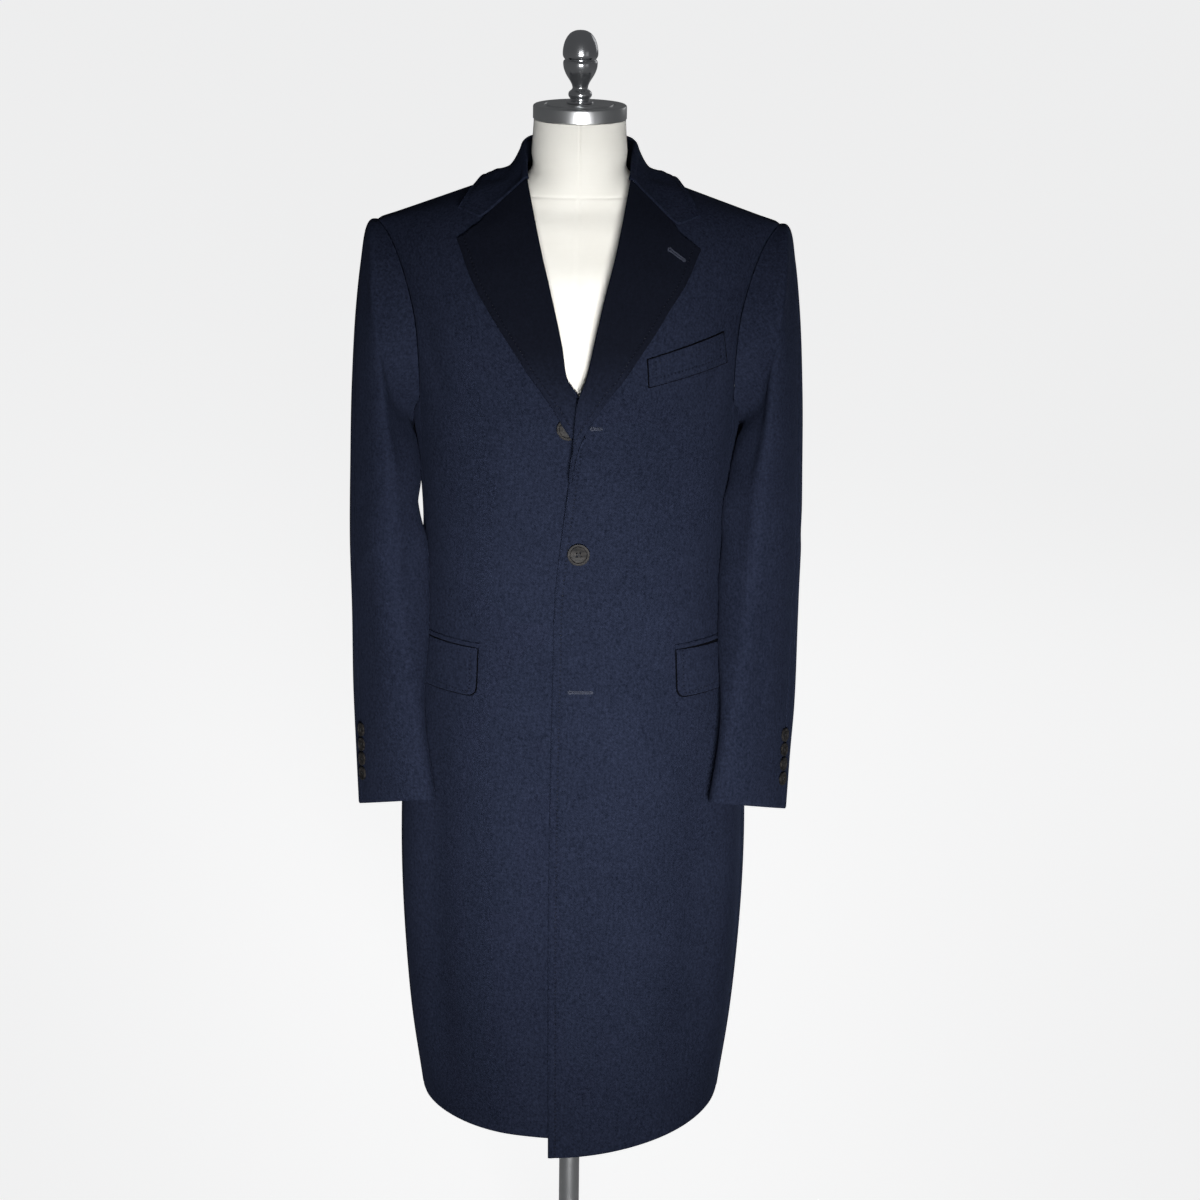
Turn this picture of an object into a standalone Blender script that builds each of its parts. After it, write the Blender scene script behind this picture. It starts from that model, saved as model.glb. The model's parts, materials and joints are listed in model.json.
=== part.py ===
"""A single-breasted wool overcoat, buttoned on a limbless tailor's dress form that stands on a round foot.

Metres, +Z up, the front of the coat faces -Y, and the wearer's left is +X. The origin is the centre of the
foot's underside. Each piece that a tailor would cut is one object: a wall of cloth lofted through rows of
points that come from the tables below.
"""

import math

import bmesh
import bpy
import numpy as np
from mathutils import Matrix, Vector
from mathutils.bvhtree import BVHTree

# ---------------------------------------------------------------- driving sizes
SEAM_GAP = 0.0003  # between pieces that are sewn edge to edge
CLOTH = 0.0025  # body and sleeve cloth
TURNED_CLOTH = 0.0026  # collar and lapel, two layers pressed together
TRIM_CLOTH = 0.0018  # flaps, welt and jettings
EDGE_TUCK = 0.0008  # how far a wall's hidden side stops short of its edge

OVER_DROP = 0.024  # how much lower the lapping front hangs at its edge

BUTTON_Z = {"top": 1.2185, "middle": 1.0735, "bottom": 0.9120}
FRONT_BUTTON_RADIUS = 0.0125
CUFF_BUTTON_RADIUS = 0.0078
SHANK = 0.0009  # thread shank under a button
CUFF_BUTTONS = 4
CUFF_BUTTON_START = 0.036
CUFF_BUTTON_PITCH = 0.0172

FOOT_RADIUS = 0.200
FOOT_HEIGHT = 0.014
POLE_RADIUS = 0.0125
FORM_BOTTOM_Z = 0.840

# Horizontal sections of the coat below the arms: half width, front depth, back depth, squareness of the oval
# and where the two seams of the side body run, in degrees round from the centre front.
SECTION_COLUMNS = ("z", "half_width", "front", "back", "squareness", "front_seam", "back_seam")
SECTIONS = (
    (0.330, 0.1800, 0.1790, 0.1700, 2.00, 82, 122),
    (0.363, 0.1815, 0.1780, 0.1690, 2.00, 82, 122),
    (0.466, 0.1945, 0.1730, 0.1660, 2.00, 82, 122),
    (0.600, 0.2035, 0.1680, 0.1620, 2.00, 82, 122),
    (0.720, 0.2045, 0.1620, 0.1580, 2.02, 82, 122),
    (0.840, 0.1970, 0.1560, 0.1520, 2.05, 82, 122),
    (0.950, 0.1880, 0.1490, 0.1420, 2.10, 82, 121),
    (1.015, 0.1825, 0.1445, 0.1330, 2.15, 81, 120),
    (1.080, 0.1785, 0.1430, 0.1270, 2.20, 79, 119),
    (1.160, 0.1840, 0.1460, 0.1300, 2.20, 74, 118),
    (1.235, 0.1930, 0.1500, 0.1360, 2.20, 68, 116),
)
LOWER_ROWS = (0.363, 0.466, 0.600, 0.720, 0.840, 0.950, 1.015, 1.080, 1.160)

# The front edge, and above the V its roll line: x on the panel that laps over and on the one beneath it,
# and how far each stands proud of the section there.
EDGE_COLUMNS = ("z", "over_x", "under_x", "over_proud", "under_sunk")
FRONT_EDGE = (
    (0.330, -0.0240, 0.0240, 0.0008, 0.0044),
    (0.660, -0.0260, 0.0240, 0.0008, 0.0034),
    (0.917, -0.0235, 0.0240, 0.0008, 0.0032),
    (1.053, -0.0195, 0.0240, 0.0008, 0.0034),
    (1.096, -0.0140, 0.0240, 0.0012, 0.0040),
    (1.150, -0.0076, 0.0230, 0.0040, 0.0050),
    (1.175, -0.0040, 0.0215, 0.0055, 0.0055),
    (1.205, 0.0000, 0.0190, 0.0060, 0.0060),
    (1.235, 0.0035, 0.0130, 0.0060, 0.0060),
    (1.265, 0.0105, 0.0070, 0.0050, 0.0050),
)
BREAK_TOP_Z = 1.265

# Rows above the underarm: the roll line (x, y, z), where the row meets the armhole (x, y, z) and how far
# round an oval the row bends between them, in degrees.
FRONT_UPPER_COLUMNS = ("roll", "armhole", "bend")
FRONT_UPPER = (
    ((0.0060, -0.1500, 1.2350), (0.1800, -0.0600, 1.2350), 66),
    ((0.0160, -0.1490, 1.2850), (0.1805, -0.0720, 1.2800), 60),
    ((0.0274, -0.1400, 1.3400), (0.1860, -0.0690, 1.3350), 55),
    ((0.0404, -0.1215, 1.3920), (0.1990, -0.0530, 1.3810), 50),
    ((0.0524, -0.0920, 1.4400), (0.2130, -0.0310, 1.4110), 42),
    ((0.0604, -0.0500, 1.4745), (0.2260, -0.0080, 1.4265), 30),
    ((0.0670, 0.0060, 1.4885), (0.2310, 0.0080, 1.4285), 20),
)
UNDER_ROLL_SHIFT = -0.0015  # the roll line of the under front lies nearer the centre

# The back: centre-back line and armhole, with the bend between them.
BACK_UPPER_COLUMNS = ("centre", "armhole", "bend")
BACK_UPPER = (
    ((0.0, 0.1360, 1.2350), (0.1830, 0.0640, 1.2350), 64),
    ((0.0, 0.1400, 1.2850), (0.1830, 0.0840, 1.2800), 60),
    ((0.0, 0.1370, 1.3400), (0.1880, 0.0860, 1.3350), 55),
    ((0.0, 0.1270, 1.3900), (0.2010, 0.0700, 1.3810), 50),
    ((0.0, 0.1100, 1.4300), (0.2150, 0.0480, 1.4110), 42),
    ((0.0, 0.0880, 1.4620), (0.2270, 0.0250, 1.4265), 30),
)
NECK_POINT = (0.0670, 0.0060, 1.4885)
NECKLINE_BACK = ((0.0, 0.0690, 1.4800), (0.0400, 0.0580, 1.4830), (0.0600, 0.0330, 1.4870), NECK_POINT)
SHOULDER_TIP = (0.2310, 0.0080, 1.4285)
UNDERARM_POINT = (0.1895, 0.0000, 1.2050)

# Rings of the sleeve below the armhole seam: centre, half width across the arm, half depth along it, how far
# the front of the ring turns inward (degrees), and how far its outer and front sides are raised.
SLEEVE_COLUMNS = ("centre", "half_width", "half_depth", "turn", "outer_lift", "front_lift")
SLEEVE_RINGS = (
    ((0.2190, 0.0060, 1.3060), 0.0215, 0.0880, 0, 0.1180, 0.000),
    ((0.2235, 0.0040, 1.2730), 0.0255, 0.0905, 2, 0.1140, 0.000),
    ((0.2245, -0.0020, 1.2250), 0.0315, 0.0890, 5, 0.0950, 0.000),
    ((0.2235, -0.0110, 1.1680), 0.0365, 0.0850, 9, 0.0660, 0.000),
    ((0.2240, -0.0180, 1.1050), 0.0370, 0.0800, 13, 0.0380, 0.002),
    ((0.2245, -0.0260, 1.0350), 0.0355, 0.0750, 18, 0.0200, 0.004),
    ((0.2225, -0.0400, 0.9620), 0.0300, 0.0700, 26, 0.0080, 0.006),
    ((0.2190, -0.0580, 0.8870), 0.0260, 0.0640, 35, 0.0040, 0.010),
    ((0.2125, -0.0760, 0.8200), 0.0260, 0.0600, 42, 0.0050, 0.014),
    ((0.2055, -0.0900, 0.7550), 0.0270, 0.0590, 48, 0.0055, 0.017),
)
# Where the two sleeve seams run, as angles round each ring from its front, armhole ring first.
HIND_SEAM_DEG = (118, 104, 90, 79, 76, 80, 88, 102, 113, 122, 131)
FORE_SEAM_DEG = (-62, -68, -72, -76, -78, -76, -68, -56, -46, -40, -37)

# The crest of the fold that runs up each lapel, round the neck and down the other: where the cloth turns over.
CREST = (
    (0.0110, -0.1540, 1.2800),
    (0.0240, -0.1460, 1.3400),
    (0.0370, -0.1280, 1.3920),
    (0.0490, -0.0990, 1.4400),
    (0.0550, -0.0730, 1.4680),
    (0.0575, -0.0540, 1.4860),
    (0.0575, -0.0370, 1.4960),
    (0.0585, -0.0170, 1.5055),
    (0.0605, 0.0080, 1.5140),
    (0.0560, 0.0320, 1.5180),
    (0.0360, 0.0540, 1.5190),
    (0.0000, 0.0640, 1.5190),
)
CREST_GORGE = 5  # the row of CREST where the collar meets the lapel
# Lapels, from the break up: crest (x, z), outer edge (x, z) and how far the cloth stands off the coat.
LAPEL_COLUMNS = ("crest", "outer", "lift")
LAPEL_OVER = (
    ((-0.0062, 1.1600), (-0.0040, 1.1640), 0.0050),
    ((-0.0035, 1.2050), (0.0072, 1.2080), 0.0052),
    ((0.0008, 1.2500), (0.0330, 1.2500), 0.0050),
    ((0.0110, 1.2800), (0.0550, 1.2790), 0.0048),
    ((0.0185, 1.3150), (0.0745, 1.3080), 0.0046),
    ((0.0300, 1.3650), (0.1005, 1.3480), 0.0048),
    ((0.0430, 1.4160), (0.1225, 1.3830), 0.0066),
)
LAPEL_UNDER = (
    ((0.0170, 1.1850), (0.0040, 1.1960), 0.0072),
    ((0.0100, 1.2220), (-0.0125, 1.2190), 0.0074),
    ((0.0010, 1.2530), (-0.0330, 1.2530), 0.0060),
    ((-0.0100, 1.2800), (-0.0530, 1.2800), 0.0048),
    ((-0.0155, 1.3150), (-0.0750, 1.3130), 0.0046),
    ((-0.0270, 1.3650), (-0.1010, 1.3520), 0.0046),
    ((-0.0402, 1.4160), (-0.1205, 1.3880), 0.0064),
)
NOTCH = (0.1085, 1.4435)
LAPEL_POINT = (0.1360, 1.4235)
NOTCH_SHARE = 0.62  # of the way from the crest to the lapel point

# Outer edge of the collar's fall, from the centre back to near its front end.
COLLAR_EDGE = (
    (0.0000, 0.1180, 1.4500),
    (0.0400, 0.1140, 1.4520),
    (0.0720, 0.0940, 1.4590),
    (0.0920, 0.0620, 1.4680),
    (0.1050, 0.0260, 1.4730),
    (0.1160, -0.0100, 1.4690),
    (0.1270, -0.0420, 1.4590),
)
COLLAR_CORNER = (0.1340, 1.4505)
COLLAR_ROWS = 9  # on each side of the centre back

# Pockets.
FLAP_TOP_Z = 0.9550
FLAP_DROP = 0.0570
FLAP_ANGLES = {1: (math.radians(37.5), math.radians(84.0)), -1: (math.radians(34.5), math.radians(84.0))}
JETTING_HEIGHT = 0.0060
WELT_CORNERS = ((0.0790, 1.2990), (0.1630, 1.3206), (0.1680, 1.2855), (0.0810, 1.2680))

# The dress form, from its bottom edge up: half width, front depth, back depth.
FORM_COLUMNS = ("z", "half_width", "front", "back", "squareness")
FORM_SECTIONS = (
    (0.8400, 0.1600, 0.1120, 0.1120, 2.1),
    (0.9000, 0.1660, 0.1160, 0.1180, 2.1),
    (0.9800, 0.1580, 0.1120, 0.1100, 2.1),
    (1.0800, 0.1450, 0.1080, 0.0980, 2.1),
    (1.1800, 0.1560, 0.1240, 0.1080, 2.2),
    (1.2600, 0.1650, 0.1330, 0.1220, 2.2),
    (1.3300, 0.1680, 0.1220, 0.1240, 2.2),
    (1.3800, 0.1750, 0.1060, 0.1120, 2.2),
    (1.4080, 0.1840, 0.0880, 0.0960, 2.1),
    (1.4366, 0.1600, 0.0720, 0.0800, 2.0),
    (1.4506, 0.1290, 0.0620, 0.0700, 2.0),
    (1.4646, 0.0920, 0.0580, 0.0640, 2.0),
    (1.4772, 0.0680, 0.0560, 0.0600, 2.0),
    (1.4860, 0.0570, 0.0550, 0.0570, 2.0),
    (1.5100, 0.0545, 0.0540, 0.0545, 2.0),
    (1.5450, 0.0522, 0.0522, 0.0522, 2.0),
)
CAP_RADIUS = 0.0532
CAP_BOTTOM_Z = 1.5453
CAP_TOP_Z = 1.5625

NAVY = (0.012, 0.017, 0.036)
CREAM = (0.80, 0.77, 0.68)
STEEL = (0.62, 0.63, 0.65)
HORN = (0.045, 0.042, 0.040)


# ---------------------------------------------------------------- small helpers
def column(table, columns, name):
    """One named column of a table, as an array."""
    return np.array([row[columns.index(name)] for row in table], float)


def lerp(a, b, share):
    return np.asarray(a, float) + (np.asarray(b, float) - np.asarray(a, float)) * share


def power(value, exponent):
    """A signed power, for superellipses."""
    return math.copysign(abs(value) ** exponent, value)


def unit(vectors):
    length = np.linalg.norm(vectors, axis=-1, keepdims=True)
    return vectors / np.maximum(length, 1e-12)


def section_at(z, table=SECTIONS, columns=SECTION_COLUMNS):
    """Everything a table says at a height but the height itself, read smoothly."""
    heights = column(table, columns, "z")
    return [smooth_read(z, heights, column(table, columns, name)) for name in columns[1:]]


def smooth_read(at, places, values):
    """A value between table rows, on a curve with no kinks."""
    k = int(np.clip(np.searchsorted(places, at) - 1, 0, len(places) - 2))
    span = places[k + 1] - places[k]
    t = float(np.clip((at - places[k]) / span, 0, 1))
    slopes = np.gradient(values, places)
    h00, h10 = 2 * t**3 - 3 * t**2 + 1, t**3 - 2 * t**2 + t
    h01, h11 = -2 * t**3 + 3 * t**2, t**3 - t**2
    return h00 * values[k] + h10 * span * slopes[k] + h01 * values[k + 1] + h11 * span * slopes[k + 1]


def section_point(angle, z):
    """A point on the coat's section at a height; the angle runs from the centre front round the wearer's left."""
    half_width, front, back, squareness = section_at(z)[:4]
    depth = front if math.cos(angle) > 0 else back
    x = half_width * power(math.sin(angle), 2 / squareness)
    y = -depth * power(math.cos(angle), 2 / squareness)
    return np.array([x, y, z])


def bent_row(start, end, start_angle, end_angle, squareness, count):
    """A row of points from start to end along part of an oval."""
    angles = np.linspace(start_angle, end_angle, count)
    along = np.array([power(math.sin(a), 2 / squareness) for a in angles])
    across = np.array([power(math.cos(a), 2 / squareness) for a in angles])
    along = (along - along[0]) / (along[-1] - along[0])
    across = (across - across[0]) / (across[-1] - across[0])
    start, end = np.asarray(start, float), np.asarray(end, float)
    shares = np.stack([along, across, along], axis=1)
    return start + (end - start) * shares


def spline(points, places):
    """Points of a Catmull-Rom curve through the given ones; places count them from 0."""
    points = np.asarray(points, float)
    padded = np.concatenate([[2 * points[0] - points[1]], points, [2 * points[-1] - points[-2]]])
    found = []
    for place in places:
        k = int(np.clip(math.floor(place), 0, len(points) - 2))
        t = place - k
        a, b, c, d = padded[k : k + 4]
        found.append(0.5 * (2 * b + (c - a) * t + (2 * a - 5 * b + 4 * c - d) * t**2 + (3 * b - a - 3 * c + d) * t**3))
    return np.array(found)


def resampled(grid, rows, columns):
    """The grid read again with this many rows and columns, smoothly."""
    grid = spline(grid, np.linspace(0, len(grid) - 1, rows))
    turned = spline(grid.transpose(1, 0, 2), np.linspace(0, grid.shape[1] - 1, columns))
    return turned.transpose(1, 0, 2)


def normals_of(grid):
    """Unit normals of a grid of points, on the side where rows run up and columns run to the right of it."""
    up = np.gradient(grid, axis=0)
    across = np.gradient(grid, axis=1)
    return unit(np.cross(across, up))


def mirrored(grid):
    """The grid for the wearer's other side, with its columns reversed so that its normals still point out."""
    return (grid * np.array([-1.0, 1.0, 1.0]))[:, ::-1]


def trimmed(grid, gap=SEAM_GAP / 2):
    """The grid with each border drawn in a little along the cloth, for the gap at a seam."""
    grid = grid.copy()
    for border, inner in ((0, 1), (-1, -2)):
        grid[border] += unit(grid[inner] - grid[border]) * gap
        grid[:, border] += unit(grid[:, inner] - grid[:, border]) * gap
    return grid


# ---------------------------------------------------------------- objects
def material(name, colour, roughness, metallic=0.0):
    made = bpy.data.materials.get(name) or bpy.data.materials.new(name)
    made.use_nodes = True
    shader = made.node_tree.nodes["Principled BSDF"]
    shader.inputs["Base Color"].default_value = (*colour, 1.0)
    shader.inputs["Roughness"].default_value = roughness
    shader.inputs["Metallic"].default_value = metallic
    return made


def add_object(name, mesh, finish):
    made = bpy.data.objects.new(name, mesh)
    made.data.materials.append(finish)
    coat.objects.link(made)
    return made


def cloth_wall(name, grid, thickness=CLOTH, tuck=EDGE_TUCK, finish=None):
    """A closed wall of cloth whose outer face is the grid; its hidden face is moved in along the normals."""
    rows, columns = grid.shape[:2]
    inner = trimmed(grid, tuck) - normals_of(grid) * thickness
    mesh = bpy.data.meshes.new(name)
    work = bmesh.new()
    outer_verts = [[work.verts.new(p) for p in row] for row in grid]
    inner_verts = [[work.verts.new(p) for p in row] for row in inner]
    for r in range(rows - 1):
        for c in range(columns - 1):
            corners = ((r, c), (r, c + 1), (r + 1, c + 1), (r + 1, c))
            work.faces.new([outer_verts[i][j] for i, j in corners])
            work.faces.new([inner_verts[i][j] for i, j in reversed(corners)])
    ring = [(0, c) for c in range(columns)]
    ring += [(r, columns - 1) for r in range(1, rows)]
    ring += [(rows - 1, c) for c in range(columns - 2, -1, -1)]
    ring += [(r, 0) for r in range(rows - 2, 0, -1)]
    for (a, b), (c, d) in zip(ring, ring[1:] + ring[:1]):
        work.faces.new([outer_verts[c][d], outer_verts[a][b], inner_verts[a][b], inner_verts[c][d]])
    bmesh.ops.recalc_face_normals(work, faces=work.faces)
    work.to_mesh(mesh)
    work.free()
    mesh.shade_smooth()
    mesh.set_sharp_from_angle(angle=math.radians(40))
    return add_object(name, mesh, finish or navy)


def turned(name, profile, segments, finish, centre=(0.0, 0.0)):
    """A turned piece: a profile of (radius, z) from the axis at the top, down its outer side, to the axis."""
    mesh = bpy.data.meshes.new(name)
    points = [(radius, 0.0, z) for radius, z in profile]
    mesh.from_pydata(points, [(i, i + 1) for i in range(len(points) - 1)], [])
    made = add_object(name, mesh, finish)
    made.location = (centre[0], centre[1], 0.0)
    screw = made.modifiers.new("turn", "SCREW")
    screw.steps = screw.render_steps = segments
    screw.use_merge_vertices = True
    screw.merge_threshold = 0.00005
    return made


# ---------------------------------------------------------------- the body of the coat
def front_grid(over):
    """The wearer's left front, which laps over, or the right one beneath it as if it were on the left."""
    heights = column(FRONT_EDGE, EDGE_COLUMNS, "z")
    edge_x = column(FRONT_EDGE, EDGE_COLUMNS, "over_x" if over else "under_x")
    proud = column(FRONT_EDGE, EDGE_COLUMNS, "over_proud" if over else "under_sunk")
    toward_front = 1.0 if over else -1.0
    rows = []
    for z in LOWER_ROWS:
        half_width, _, _, squareness, front_seam, _ = section_at(z)
        start_angle = math.asin(power(smooth_read(z, heights, edge_x) * toward_front / half_width, squareness / 2))
        end_angle = math.radians(front_seam)
        start, end = section_point(start_angle, z), section_point(end_angle, z)
        row = bent_row(start, end, start_angle, end_angle, squareness, FRONT_COLUMNS)
        if over and z == LOWER_ROWS[0]:
            row[:, 2] -= OVER_DROP * np.linspace(1, 0, FRONT_COLUMNS)
        rows.append(lapped(row, smooth_read(z, heights, proud) * toward_front))
    for roll, armhole, bend in FRONT_UPPER:
        z = roll[2]
        start = np.array(roll)
        if z < BREAK_TOP_Z:
            start[0] = smooth_read(z, heights, edge_x) * toward_front
        elif not over:
            start[0] += UNDER_ROLL_SHIFT
        row = bent_row(start, armhole, 0.0, math.radians(bend), 2.2, FRONT_COLUMNS)
        fade = np.clip((NECK_POINT[2] - z) / (NECK_POINT[2] - BREAK_TOP_Z), 0, 1) ** 2
        rows.append(lapped(row, smooth_read(min(z, BREAK_TOP_Z), heights, proud) * toward_front * fade))
    return np.array(rows)


def lapped(row, proud, full=0.052, reach=0.125):
    """The row with its front end moved forward, or back where proud is negative, fading over a width."""
    share = np.clip((reach - (row[:, 0] - row[0, 0])) / (reach - full), 0, 1)
    row = row.copy()
    row[:, 1] -= proud * share * share * (3 - 2 * share)
    return row


def back_grid():
    """The wearer's left back, from the centre-back seam to the side-body seam, hem to shoulder."""
    rows = []
    for z in LOWER_ROWS:
        _, _, _, squareness, _, back_seam = section_at(z)
        start, end = section_point(math.pi, z), section_point(math.radians(back_seam), z)
        start[0] = 0.0
        rows.append(bent_row(start, end, 0.0, math.pi - math.radians(back_seam), squareness, BACK_COLUMNS))
    for centre, armhole, bend in BACK_UPPER:
        rows.append(bent_row(centre, armhole, 0.0, math.radians(bend), 2.2, BACK_COLUMNS))
    shoulder = [lerp(NECK_POINT, SHOULDER_TIP, share) for share in np.linspace(0, 1, BACK_COLUMNS - 3)]
    rows.append(np.array([*NECKLINE_BACK[:3], *shoulder]))
    return np.array(rows)[:, ::-1]


def side_grid():
    """The side body, from the front's seam to the back's, hem to underarm."""
    rows = []
    for z in LOWER_ROWS:
        angles = np.radians(np.linspace(*section_at(z)[4:], SIDE_COLUMNS))
        rows.append([section_point(angle, z) for angle in angles])
    rows.append(armhole_bottom(SIDE_COLUMNS))
    return np.array(rows)


def armhole_bottom(count):
    """The lowest part of the armhole, from the front's seam under the arm to the back's."""
    front, back = FRONT_UPPER[0][1], BACK_UPPER[0][1]
    through = [front, lerp(front, UNDERARM_POINT, 0.5), UNDERARM_POINT, lerp(back, UNDERARM_POINT, 0.5), back]
    through[1][2] -= 0.008
    through[3][2] -= 0.008
    through[1][0] += 0.004
    through[3][0] += 0.003
    return spline(through, np.linspace(0, 4, count))


def armhole_ring(angles):
    """The armhole seam, read at angles from its front over the top and round the back."""
    front = [row[1] for row in FRONT_UPPER]
    back = [row[1] for row in BACK_UPPER]
    bottom = armhole_bottom(9)
    loop = list(front[2:]) + list(back[::-1]) + list(bottom[::-1][1:]) + list(front[1:2])
    loop = np.array(loop, float)
    places = np.unwrap([math.atan2(p[2] - 1.318, -(p[1] - 0.008)) for p in loop])
    closed = np.concatenate([loop, loop[:1]])
    turn = np.concatenate([places, [places[0] + 2 * math.pi]])
    found = []
    for angle in angles:
        wrapped = (angle - turn[0]) % (2 * math.pi) + turn[0]
        found.append([np.interp(wrapped, turn, closed[:, k]) for k in range(3)])
    return np.array(found)


# ---------------------------------------------------------------- sleeves
def sleeve_grid(first_seam, last_seam, count):
    """Part of the sleeve between two seams, from the armhole down to the cuff, as rows from the cuff up."""
    rows = []
    angles = np.radians(np.linspace(first_seam[0], last_seam[0], count))
    start = armhole_ring(angles)
    outward = unit(sleeve_ring(SLEEVE_RINGS[0], angles) - start)
    rows.append(start + outward * 0.0008)
    for k, ring in enumerate(SLEEVE_RINGS):
        angles = np.radians(np.linspace(first_seam[k + 1], last_seam[k + 1], count))
        rows.append(sleeve_ring(ring, angles))
    return np.array(rows)[::-1]


def sleeve_ring(ring, angles):
    centre, half_width, half_depth, turn, outer_lift, front_lift = ring
    turn = math.radians(turn)
    outward = np.array([math.cos(turn) * half_width, -math.sin(turn) * half_width, outer_lift])
    forward = np.array([-math.sin(turn) * half_depth, -math.cos(turn) * half_depth, front_lift])
    return np.array([np.array(centre) + outward * math.sin(a) + forward * math.cos(a) for a in angles])


# ---------------------------------------------------------------- what lies on the body
class Ground:
    """The faces of some grids, to lay other pieces on."""

    def __init__(self, *grids):
        points, faces = [], []
        for grid in grids:
            first = len(points)
            rows, columns = grid.shape[:2]
            points += [Vector(p) for p in grid.reshape(-1, 3)]
            for r in range(rows - 1):
                for c in range(columns - 1):
                    a = first + r * columns + c
                    faces.append((a, a + 1, a + 1 + columns, a + columns))
        self.tree = BVHTree.FromPolygons(points, faces)

    def from_front(self, x, z, lift):
        """The point in front of the cloth at x and z, that far off it."""
        place, normal, _, _ = self.tree.ray_cast(Vector((x, -1.0, z)), Vector((0, 1, 0)))
        if place is None:
            place, normal, _, _ = self.tree.find_nearest(Vector((x, -0.12, z)))
            place = Vector((x, place.y, z))
        if normal.y > 0:
            normal = -normal
        return np.array(place + normal * lift)

    def near(self, point, lift):
        """The nearest point of the cloth, that far off it."""
        place, normal, _, _ = self.tree.find_nearest(Vector(point))
        return np.array(place + normal * lift)

    def clear_of(self, point, least):
        """The point, or the nearest one to it that is at least that far off the cloth."""
        on_cloth = self.near(point, 0.0)
        outward = self.near(point, 1.0) - on_cloth
        height = float(np.dot(np.asarray(point) - on_cloth, outward))
        return np.asarray(point) + outward * max(0.0, least - height)


def crest_at(z, ground, x):
    """The crest of the fold at a height; below the V it lies on the front's own edge."""
    heights = np.array([point[2] for point in CREST[: CREST_GORGE + 1]])
    if z < heights[0]:
        place = ground.from_front(x + math.copysign(0.0045, x), z, 0.0)
        return np.array([x, place[1] - 0.0042, z])
    found = [smooth_read(z, heights, np.array([point[k] for point in CREST[: CREST_GORGE + 1]])) for k in range(3)]
    return np.array([math.copysign(found[0], x), found[1], z])


def lapel_grid(ground, rows, outward):
    """A lapel: it turns over at the crest and lies on the chest. outward is the x sign away from the V."""
    top = (outward * CREST[CREST_GORGE][0], CREST[CREST_GORGE][2], outward * LAPEL_POINT[0], LAPEL_POINT[1])
    known = [(*crest, *outer, lift) for crest, outer, lift in rows] + [(*top, rows[-1][2])]
    grid = []
    for row in spline(known, np.linspace(0, len(rows), LAPEL_ROWS)):
        crest, outer, lift = row[:2], row[2:4], row[4]
        at_crest = crest_at(crest[1], ground, crest[0])
        at_crest[0] = crest[0]
        line = [at_crest + (0.0, 0.0012, 0.0), at_crest + (outward * 0.0014, -0.0024, 0.0)]
        shares = np.linspace(min(0.30, 0.0095 / math.dist(crest, outer)), 1.0, LAPEL_COUNT)
        places = [lerp(crest, outer, share) for share in shares]
        if len(grid) == LAPEL_ROWS - 1:
            places = [gorge_line(share, outward) for share in shares]
        grid.append(line + rolled_out(ground, line[-1], places, shares, lift))
    grid = np.array(grid)
    return grid if outward > 0 else grid[:, ::-1]


def rolled_out(ground, start, places, shares, lift, free=0.45):
    """Points over the cloth at (x, z) places; near the fold they bridge to its start and don't follow the cloth."""
    on_cloth = [ground.from_front(x, z, lift + 0.0022 * (1 - share) ** 2) for (x, z), share in zip(places, shares)]
    anchor = int(np.argmax(shares >= free))
    for k in range(anchor):
        bridge = lerp(start, on_cloth[anchor], shares[k] / shares[anchor])
        if bridge[1] < on_cloth[k][1]:
            on_cloth[k] = bridge
    return on_cloth


def gorge_line(share, outward, free_end=LAPEL_POINT):
    """The seam between collar and lapel, then the free edge beyond the notch, as (x, z)."""
    inner = (CREST[CREST_GORGE][0], CREST[CREST_GORGE][2])
    if share < NOTCH_SHARE:
        place = lerp(inner, NOTCH, share / NOTCH_SHARE)
    else:
        place = lerp(NOTCH, free_end, (share - NOTCH_SHARE) / (1 - NOTCH_SHARE))
    return np.array([outward * place[0], place[1]])


def neck_crest(count):
    """The crest from the centre back round the wearer's left to where the collar meets the lapel."""
    points = CREST[: CREST_GORGE - 1 : -1]
    return spline(points, np.linspace(0, len(points) - 1, count))


def away_from_neck(point):
    return unit(np.array([point[0], point[1] + 0.012, 0.0]))


def collar_half(ground):
    """The fall of the collar on the wearer's left, from the centre back to its front end."""
    rows = []
    edge = spline(COLLAR_EDGE, np.linspace(0, len(COLLAR_EDGE) - 1, COLLAR_ROWS - 1))
    for crest, outer in zip(neck_crest(COLLAR_ROWS)[:-1], edge):
        away, outer = away_from_neck(crest), ground.near(outer, 0.0054)
        start = crest + away * 0.0062 + (0.0, 0.0, -0.0080)
        line = [crest, crest + away * 0.0036 + (0.0, 0.0, -0.0016), start]
        for share in np.linspace(0.0, 1.0, COLLAR_COUNT)[1:]:
            point = lerp(start, outer, share)
            point[2] -= 0.0060 * math.sin(math.pi * share)
            line.append(ground.clear_of(point, 0.0054))
        rows.append(line)
    crest = np.array(CREST[CREST_GORGE])
    line = [crest + (0.0, 0.0, 0.0016), crest + (0.0014, -0.0030, 0.0024)]
    shares = np.linspace(0.10, 1.0, COLLAR_COUNT)
    places = [gorge_line(share, 1.0, COLLAR_CORNER) + (0.0, 0.0022) for share in shares]
    rows.append(line + rolled_out(ground, line[-1], places, shares, 0.0050))
    return np.array(rows)


def collar_grid(ground):
    left = collar_half(ground)
    right = left[1:] * np.array([-1.0, 1.0, 1.0])
    return np.concatenate([right[::-1], left]).transpose(1, 0, 2)[::-1]


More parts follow.
